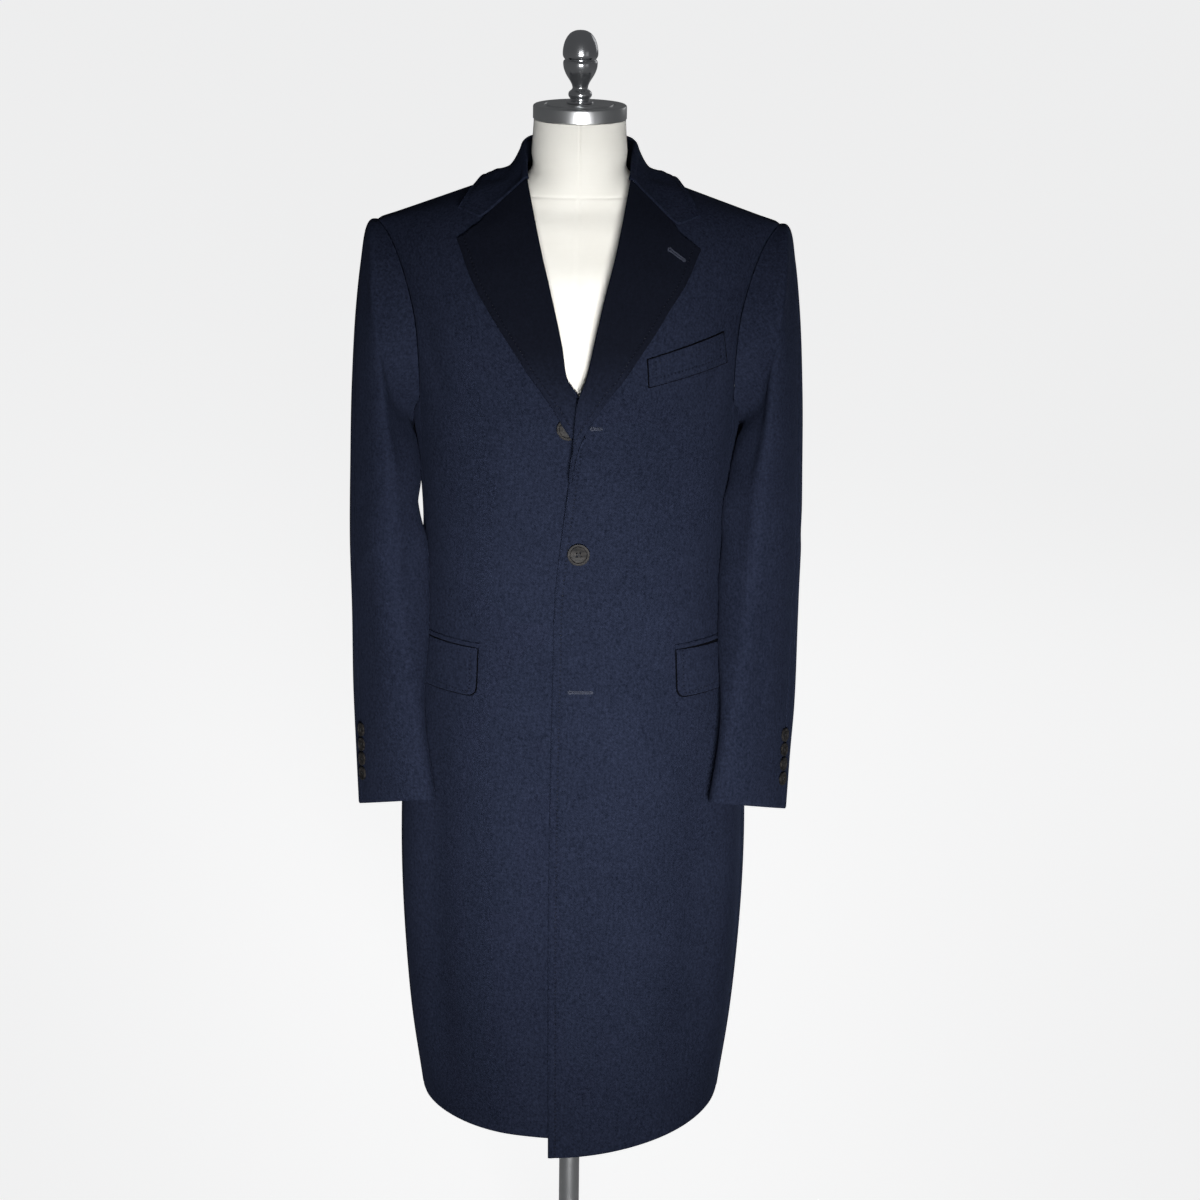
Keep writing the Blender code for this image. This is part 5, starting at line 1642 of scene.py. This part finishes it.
@dataclass
class BreastWelt:
    """The slanted welt of the breast pocket."""

    finishes: Finishes

    @staticmethod
    def grid(ground: Ground, lift: float, wider: float) -> np.ndarray:
        """The welt's outline, that far off the coat and drawn out on every side."""
        top_inner, top_outer, low_outer, low_inner = WELT_CORNERS
        grid = []
        for up in np.linspace(-wider / WELT_SIZE[1], 1 + wider / WELT_SIZE[1], 26):
            inner, outer = lerp(low_inner, top_inner, up), lerp(low_outer, top_outer, up)
            shares = np.linspace(-wider / WELT_SIZE[0], 1 + wider / WELT_SIZE[0], 60)
            grid.append([ground.from_front(*lerp(inner, outer, s), lift) for s in shares])
        return np.array(grid)

    def build(self, ground: Ground) -> list[tuple[np.ndarray, np.ndarray]]:
        """Makes the welt and returns the lines of stitching along its borders."""
        # A dark strip of painted shadow under the welt, showing SHADOW_SHOWS beyond it on every side.
        under = ClothSheet("breast_welt_painted_shadow", self.grid(ground, 0.0016, SHADOW_SHOWS), MOUTH_WALL,
                           *[Edge.FLAT] * 4, ready=True)
        welt = ClothSheet("breast_welt", self.grid(ground, WELT_LIFT, 0.0), TRIM_CLOTH, Edge.STITCHED,
                          Edge.FREE, Edge.STITCHED, Edge.STITCHED, ready=True)
        welt.finish(self.finishes.wool, "folded", ["front_left"], "breast_welt",
                    with_pieces=[under.trim(self.finishes.painted_shade_wool)])
        rows = (("left", 0.0050), ("right", 0.0050), ("bottom", 0.0026), ("top", 0.0070))
        return [welt.inset_path(border, inset) for border, inset in rows]


# ---------------------------------------------------------------- buttons
@dataclass
class ButtonMaker:
    """A sew-through button with a rolled rim and four holes, modelled once for each size."""

    finishes: Finishes
    front_radius: float = 0.0125
    cuff_radius: float = 0.0078

    def pattern(self, radius: float) -> tuple[np.ndarray, list[list[int]]]:
        """The points and faces of a button of this radius, facing +Z with its middle at the origin."""
        deselect_all()
        bpy.ops.mesh.primitive_cylinder_add(vertices=40, radius=radius, depth=radius * 0.26)
        made = named("button_pattern")
        bpy.ops.object.mode_set(mode="EDIT")
        bpy.ops.mesh.select_all(action="DESELECT")
        bpy.ops.object.mode_set(mode="OBJECT")
        for face in made.data.polygons:
            face.select = face.normal.z > 0.9
        bpy.ops.object.mode_set(mode="EDIT")
        bpy.ops.mesh.inset(thickness=radius * 0.20, depth=0)
        bpy.ops.mesh.inset(thickness=radius * 0.07, depth=-radius * 0.085)
        bpy.ops.object.mode_set(mode="OBJECT")
        for turn in range(4):
            angle = math.radians(45 + 90 * turn)
            at = (math.cos(angle) * radius * 0.21, math.sin(angle) * radius * 0.21, 0)
            bpy.ops.mesh.primitive_cylinder_add(vertices=12, radius=radius * 0.085, depth=radius, location=at)
            drill = bpy.context.view_layer.objects.active
            hole = made.modifiers.new("hole", "BOOLEAN")
            hole.operation, hole.solver, hole.object = "DIFFERENCE", "EXACT", drill
            apply_modifiers(made)
            bpy.data.objects.remove(drill)
        rim = made.modifiers.new("rim", "BEVEL")
        rim.width, rim.segments, rim.limit_method, rim.angle_limit = (
            radius * 0.055, 3, "ANGLE", math.radians(50)
        )
        apply_modifiers(made)
        points, faces = points_of(made.data), [list(face.vertices) for face in made.data.polygons]
        bpy.data.objects.remove(made)
        return points, faces

    @staticmethod
    def seat(node: str) -> tuple[np.ndarray, np.ndarray]:
        """The middle of a button's solid and the way that it faces, away from the coat."""
        points = points_of(bpy.data.objects[node].data)
        middle = (points.max(0) + points.min(0)) / 2
        _, _, axes = np.linalg.svd(points - points.mean(0), full_matrices=False)
        way = axes[2]
        out = np.array([middle[0], middle[1], 0.0]) if abs(middle[0]) > 0.1 else np.array([0.0, -1.0, 0.0])
        if abs(middle[0]) > 0.1:
            out = np.array([math.copysign(1.0, middle[0]), 0.0, 0.0])
        return middle, way if way @ out > 0 else -way

    def build(self, needle: Needlework) -> None:
        """Copies the buttons onto their solids' places and sews each with crossed thread."""
        patterns = {radius: self.pattern(radius) for radius in (self.front_radius, self.cuff_radius)}
        names = [f"front_button_{key}" for key in ("middle", "top")]
        names += [f"cuff_button_{hand}_{k}" for hand in ("left", "right") for k in (1, 2, 3, 4)]
        for index, name in enumerate(names):
            radius = self.front_radius if name.startswith("front") else self.cuff_radius
            points, faces = patterns[radius]
            middle, way = self.seat(name)
            middle = middle + way * radius * 0.03
            turn = Matrix.Rotation(math.radians(17 * index + 4), 4, "Z")
            axes = Vector(way).to_track_quat("Z", "Y").to_matrix().to_4x4() @ turn
            basis = np.array(axes.to_3x3())
            made = merged_from(f"{name}_fine", points @ basis.T + middle, faces)
            smooth_but_sharp(made, 45.0)
            finished(made, self.finishes.horn, "dark_horn", name)
            self.cross(needle, name, middle, basis, way, radius)

    def cross(self, needle: Needlework, name: str, middle, basis, way, radius: float) -> None:
        """Two crossed strands of thread between the holes, and the shank under the button."""
        strands = [basis @ np.array([math.cos(a), math.sin(a), 0.0]) for a in (math.pi / 4, -math.pi / 4)]
        at = middle + way * radius * 0.052
        half = radius * 0.26
        places, runs = [at, at], list(strands)
        places.append(middle - way * radius * 0.14)
        runs.append(strands[0])
        size = (half, radius * 0.060, radius * 0.055)
        needle.sewn(f"{name}_thread", places, runs, [way] * 3, size, self.finishes.thread)


# ---------------------------------------------------------------- the form and its stand
@dataclass
class DressForm:
    """The padded torso under canvas, with its sewn seams."""

    finishes: Finishes
    seam_depth: float = 0.0009
    seam_width: float = 0.0014
    quarter_steps: int = 26

    def angles(self) -> np.ndarray:
        """Angles round the form, closer together at the four upright seams."""
        near = np.radians([0.0, 0.55, 1.1, 1.8, 2.8, 4.2])
        quarter = np.concatenate([near, np.linspace(near[-1], math.pi / 2 - near[-1], self.quarter_steps)[1:-1],
                                  (math.pi / 2 - near[::-1])])
        return np.concatenate([quarter[:-1] + k * math.pi / 2 for k in range(4)] + [[2 * math.pi]])

    def heights(self) -> np.ndarray:
        """Heights of the rings, closer together at the seam round the base of the neck."""
        low = np.linspace(FORM_BOTTOM_Z, 1.36, 44)
        high = np.linspace(1.366, CAP_BOTTOM_Z - 0.0004, 42)
        seam = NECK_SEAM_Z + np.array([-0.004, -0.0026, -0.0016, -0.0008, 0.0, 0.0008, 0.0016, 0.0026, 0.004])
        high = high[np.abs(high - NECK_SEAM_Z) > 0.005]
        return np.sort(np.concatenate([low, high, seam]))

    def grid(self) -> np.ndarray:
        """The form's skin, with each seam pressed in."""
        table = [column(FORM_SECTIONS, FORM_COLUMNS, name) for name in FORM_COLUMNS]
        rows = []
        for z in self.heights():
            half_width, front, back, squareness = (smooth_read(z, table[0], values) for values in table[1:])
            row = []
            for angle in self.angles():
                depth = front if math.cos(angle) > 0 else back
                x = half_width * power(math.sin(angle), 2 / squareness)
                row.append((x, -depth * power(math.cos(angle), 2 / squareness), z))
            rows.append(row)
        grid = np.array(rows)
        dip = np.zeros(grid.shape[:2])
        for k in range(5):
            away = (self.angles() - k * math.pi / 2)[None, :] * np.hypot(grid[..., 0], grid[..., 1])
            dip += np.exp(-((away / self.seam_width) ** 2))
        dip += np.exp(-(((grid[..., 2] - NECK_SEAM_Z) / self.seam_width) ** 2))
        return grid - normals_of(grid) * (self.seam_depth * np.minimum(dip, 1.0))[..., None]

    def build(self) -> None:
        """Makes the torso: the skin joined to itself at the back and closed at both ends."""
        made = grid_object("form_torso_canvas", self.grid())
        pick(made)
        bpy.ops.object.mode_set(mode="EDIT")
        bpy.ops.mesh.select_all(action="SELECT")
        bpy.ops.mesh.remove_doubles(threshold=0.0002)
        bpy.ops.object.mode_set(mode="OBJECT")
        for top in (False, True):
            edge_z = points_of(made.data)[:, 2].max() if top else points_of(made.data)[:, 2].min()
            for vertex in made.data.vertices:
                vertex.select = abs(vertex.co.z - edge_z) < 0.0003
            for edge in made.data.edges:
                edge.select = all(made.data.vertices[v].select for v in edge.vertices)
            for face in made.data.polygons:
                face.select = False
            bpy.ops.object.mode_set(mode="EDIT")
            bpy.ops.mesh.select_mode(type="EDGE")
            bpy.ops.mesh.edge_face_add()
            bpy.ops.mesh.select_all(action="DESELECT")
            bpy.ops.object.mode_set(mode="OBJECT")
        bpy.ops.object.mode_set(mode="EDIT")
        bpy.ops.mesh.select_all(action="SELECT")
        bpy.ops.mesh.normals_make_consistent(inside=False)
        bpy.ops.object.mode_set(mode="OBJECT")
        smooth_but_sharp(made, 60.0)
        finished(made, self.finishes.linen, "form_linen", "form_torso")


@dataclass
class Turnery:
    """The turned metal: neck plate, finial, base plate, pole and foot."""

    finishes: Finishes
    steps: int = 96

    def turn(self, name: str, profile: Sequence[tuple[float, float]], steps: int = 0) -> bpy.types.Object:
        """Spins a profile of (radius, z), from the axis at the top back to it, about the upright axis."""
        points = [(radius, 0.0, z) for radius, z in profile]
        mesh = bpy.data.meshes.new(name)
        mesh.from_pydata(points, [(k, k + 1) for k in range(len(points) - 1)], [])
        made = bpy.data.objects.new(name, mesh)
        bpy.context.scene.collection.objects.link(made)
        pick(made)
        bpy.ops.object.mode_set(mode="EDIT")
        bpy.ops.mesh.select_all(action="SELECT")
        bpy.ops.mesh.spin(steps=steps or self.steps, angle=2 * math.pi, center=(0, 0, 0), axis=(0, 0, 1))
        bpy.ops.mesh.select_all(action="SELECT")
        bpy.ops.mesh.remove_doubles(threshold=0.00002)
        bpy.ops.mesh.normals_make_consistent(inside=False)
        bpy.ops.object.mode_set(mode="OBJECT")
        smooth_but_sharp(made, 34.0)
        return made

    def piece(
        self, name: str, profile: Sequence[tuple[float, float]], finish, node: str, steps: int = 0
    ) -> None:
        """Spins and dresses one piece."""
        finished(self.turn(name, profile, steps), finish, "polished_metal", node)

    def neck_plate(self) -> None:
        """A disc with a raised middle, a groove round it and a rounded rim."""
        top, low = CAP_TOP_Z, CAP_BOTTOM_Z
        profile = [(0.0, top), (0.0372, top), (0.0380, top - 0.0004), (0.0384, top - 0.0020),
                   (0.0396, top - 0.0024), (0.0404, top - 0.0022), (0.0408, top - 0.0014),
                   (0.0416, top - 0.0011), (0.0500, top - 0.0011),
                   (0.0518, top - 0.0014), (0.0528, top - 0.0022), (CAP_RADIUS, top - 0.0036),
                   (CAP_RADIUS, low + 0.0010), (CAP_RADIUS - 0.0008, low), (0.0, low)]
        self.piece("neck_plate_turned", profile, self.finishes.brushed, "form_neck_plate")

    def finial(self) -> None:
        """The knob: a flared foot, a bead, a waist, a cup and an egg."""
        base = CAP_TOP_Z + SEAM_GAP
        steps = (
            (0.0, 0.0820), (0.0065, 0.0810), (0.0125, 0.0775), (0.0172, 0.0705), (0.0196, 0.0620),
            (0.0200, 0.0540),
            (0.0182, 0.0500), (0.0176, 0.0490), (0.0194, 0.0465), (0.0190, 0.0400), (0.0162, 0.0325),
            (0.0110, 0.0240), (0.0090, 0.0190), (0.0092, 0.0160), (0.0128, 0.0125), (0.0132, 0.0085),
            (0.0112, 0.0045), (0.0150, 0.0020), (0.0152, 0.0),
        )
        curve = spline(steps, np.linspace(0, len(steps) - 1, 5 * len(steps)))
        profile = [(max(0.0, radius), base + max(0.0, height)) for radius, height in curve] + [(0.0, base)]
        profile[0] = (0.0, base + steps[0][1])
        self.piece("finial_turned", profile, self.finishes.metal, "form_finial", 72)

    def stand(self) -> None:
        """The plate under the torso, the pole with its collar, and the round foot."""
        bottom = FORM_BOTTOM_Z - SEAM_GAP
        plate = [(0.0, bottom), (0.0610, bottom), (0.0620, bottom - 0.0010), (0.0620, bottom - 0.0048),
                 (0.0612, bottom - 0.0058), (0.0230, bottom - 0.0116), (0.0, bottom - 0.0118)]
        self.piece("base_plate_turned", plate, self.finishes.brushed, "form_base_plate")
        low, top = FOOT_HEIGHT + 0.0060 + SEAM_GAP, FORM_BOTTOM_Z - 0.0120 - SEAM_GAP
        socket = FOOT_HEIGHT + 0.040
        wide = POLE_RADIUS + 0.0060
        pole = [(0.0, top), (POLE_RADIUS, top), (POLE_RADIUS, 0.45), (POLE_RADIUS, socket),
                (wide - 0.0020, socket), (wide - 0.0006, socket - 0.0006), (wide, socket - 0.0020),
                (wide, low + 0.0010), (wide - 0.0004, low), (0.0, low)]
        self.piece("stand_pole_turned", pole, self.finishes.brushed, "stand_pole", 64)
        edge, high = FOOT_RADIUS, FOOT_HEIGHT
        foot = [(0.0, high + 0.0060), (0.0185, high + 0.0060), (0.0240, high + 0.0054),
                (0.0300, high + 0.0040), (0.1000, high + 0.0022), (edge - 0.0110, high),
                (edge - 0.0050, high - 0.0010), (edge - 0.0016, high - 0.0034), (edge, high - 0.0070),
                (edge, 0.0012), (edge - 0.0012, 0.0), (0.0, 0.0)]
        self.piece("stand_foot_turned", foot, self.finishes.brushed, "stand_foot", 128)

    def build(self) -> None:
        """Turns every piece."""
        self.neck_plate()
        self.finial()
        self.stand()


# ---------------------------------------------------------------- the room
@dataclass
class Studio:
    """A pale floor, soft light and the camera."""

    focal_length: float = 95.22
    camera_place: tuple[float, float, float] = (0.0296, -3.60, 2.0308)
    pitch_deg: float = 16.3
    roll_deg: float = 0.72
    floor_size: float = 80.0

    def floor(self) -> None:
        """A plain pale floor, bright enough to read as a paper ground."""
        deselect_all()
        bpy.ops.mesh.primitive_plane_add(size=self.floor_size, location=(0, 0, -0.0005))
        made = named("floor")
        finish = bpy.data.materials.new("floor_paper")
        finish.use_nodes = True
        bench = NodeBench(finish.node_tree)
        shader = finish.node_tree.nodes["Principled BSDF"]
        shader.inputs["Base Color"].default_value = (0.80, 0.80, 0.80, 1)
        shader.inputs["Roughness"].default_value = 0.9
        shader.inputs["Specular IOR Level"].default_value = 0.0
        glow = bench.add("ShaderNodeEmission", inputs={"Color": (1, 1, 1, 1)})
        seen = bench.add("ShaderNodeLightPath").outputs["Is Camera Ray"]
        strength = bench.math("MULTIPLY_ADD", seen, 0.735, 0.03)
        bench.tree.links.new(strength, glow.inputs["Strength"])
        both = bench.add("ShaderNodeAddShader")
        bench.tree.links.new(shader.outputs[0], both.inputs[0])
        bench.tree.links.new(glow.outputs[0], both.inputs[1])
        bench.tree.links.new(both.outputs[0], finish.node_tree.nodes["Material Output"].inputs["Surface"])
        made.data.materials.append(finish)

    def lamp(self, name: str, place, target, size: float, power_w: float, spread_deg: float = 180.0) -> None:
        """A square soft box."""
        deselect_all()
        way = (Vector(target) - Vector(place)).to_track_quat("-Z", "Y").to_euler()
        bpy.ops.object.light_add(type="AREA", location=place, rotation=way)
        made = named(name)
        made.data.size, made.data.energy, made.data.spread = size, power_w, math.radians(spread_deg)

    def lights(self) -> None:
        """A low even sky, a soft box in front of the coat, a weak one at its left and one behind it."""
        world = bpy.data.worlds.new("soft_sky")
        bpy.context.scene.world = world
        world.use_nodes = True
        world.node_tree.nodes["Background"].inputs["Color"].default_value = (0.95, 0.97, 1.0, 1)
        world.node_tree.nodes["Background"].inputs["Strength"].default_value = 0.11
        self.lamp("front_box", (0.30, -3.3, 1.00), (0.02, 0.0, 0.88), 1.0, 10.4, 29.0)
        self.lamp("right_box", (2.6, -2.6, 1.2), (0.0, 0.0, 1.0), 1.2, 1.1)
        self.lamp("back_box", (2.2, 2.8, 2.2), (0.0, 0.0, 0.9), 1.6, 5.0)

    def camera(self) -> None:
        """The camera, a little above the coat and looking down at it."""
        deselect_all()
        bpy.ops.object.camera_add()
        made = named("camera")
        made.data.sensor_width = 36.0
        made.data.lens = self.focal_length
        made.matrix_world = (
            Matrix.Translation(self.camera_place)
            @ Matrix.Rotation(math.radians(90 - self.pitch_deg), 4, "X")
            @ Matrix.Rotation(math.radians(self.roll_deg), 4, "Z")
        )
        bpy.context.scene.camera = made

    def build(self) -> None:
        """Sets the whole room."""
        self.floor()
        self.lights()
        self.camera()
        bpy.context.scene.view_settings.view_transform = "Standard"


# ---------------------------------------------------------------- the whole object
def main() -> None:
    """Builds each sub-assembly in order."""
    logging.basicConfig(level=logging.INFO, format="%(name)s %(message)s")
    finishes = Finishes()
    needle = Needlework(finishes)
    body = Body(finishes)
    body.build()
    for hand, side in (("left", 1), ("right", -1)):
        around = body.ground(f"front_{hand}", f"side_{hand}", f"back_{hand}")
        Sleeve(hand, side, finishes, body.armhole(hand), around).build()
    coarse = {"left": Ground(body.front(True)), "right": Ground(mirrored(body.front(False)))}
    fine = {hand: body.ground(f"front_{hand}", f"side_{hand}") for hand in ("left", "right")}
    back = body.back()
    shoulders = Ground(body.front(True), mirrored(body.front(False)), back, mirrored(back))
    lapels = {
        "left": Lapel("left", 1.0, LAPEL_OVER, finishes).build(coarse["left"], fine["left"]),
        "right": Lapel("right", -1.0, LAPEL_UNDER, finishes).build(coarse["right"], fine["right"]),
    }
    collar = Collar(finishes).build(shoulders)
    pockets = [
        *FlapPocket("left", 1, finishes, droop=0.0050).build(fine["left"]),
        *FlapPocket("right", -1, finishes, droop=0.0012).build(fine["right"]),
    ]
    welt = BreastWelt(finishes).build(fine["left"])
    needle.running("lapel_left_stitching", [lapels["left"].inset_path("right")])
    needle.running("lapel_right_stitching", [lapels["right"].inset_path("left")])
    needle.running("collar_stitching", [collar.inset_path("bottom")])
    needle.running("pocket_stitching", pockets)
    needle.running("welt_stitching", welt)
    edge = body.sheets["front_left"].inset_path("left")
    needle.running("front_edge_stitching", [edge], lambda point: point[2] > 1.155)
    on_lapel = Ground(lapels["left"].fine)
    holes = {
        "buttonhole_bottom": ((-0.0050, BUTTON_Z["bottom"]), (0.0220, BUTTON_Z["bottom"]), fine["left"]),
        "buttonhole_top": ((0.0170, 1.2215), (0.0290, 1.2215), fine["left"]),
        "buttonhole_lapel": ((0.1010, 1.4165), (0.1190, 1.4035), on_lapel),
    }
    for name, (start, end, ground) in holes.items():
        needle.buttonhole(name, start, end, ground, finishes.silk)
        needle.slit(f"{name}_slit", start, end, ground)
    ButtonMaker(finishes).build(needle)
    DressForm(finishes).build()
    Turnery(finishes).build()
    Studio().build()


if __name__ == "__main__":
    main()
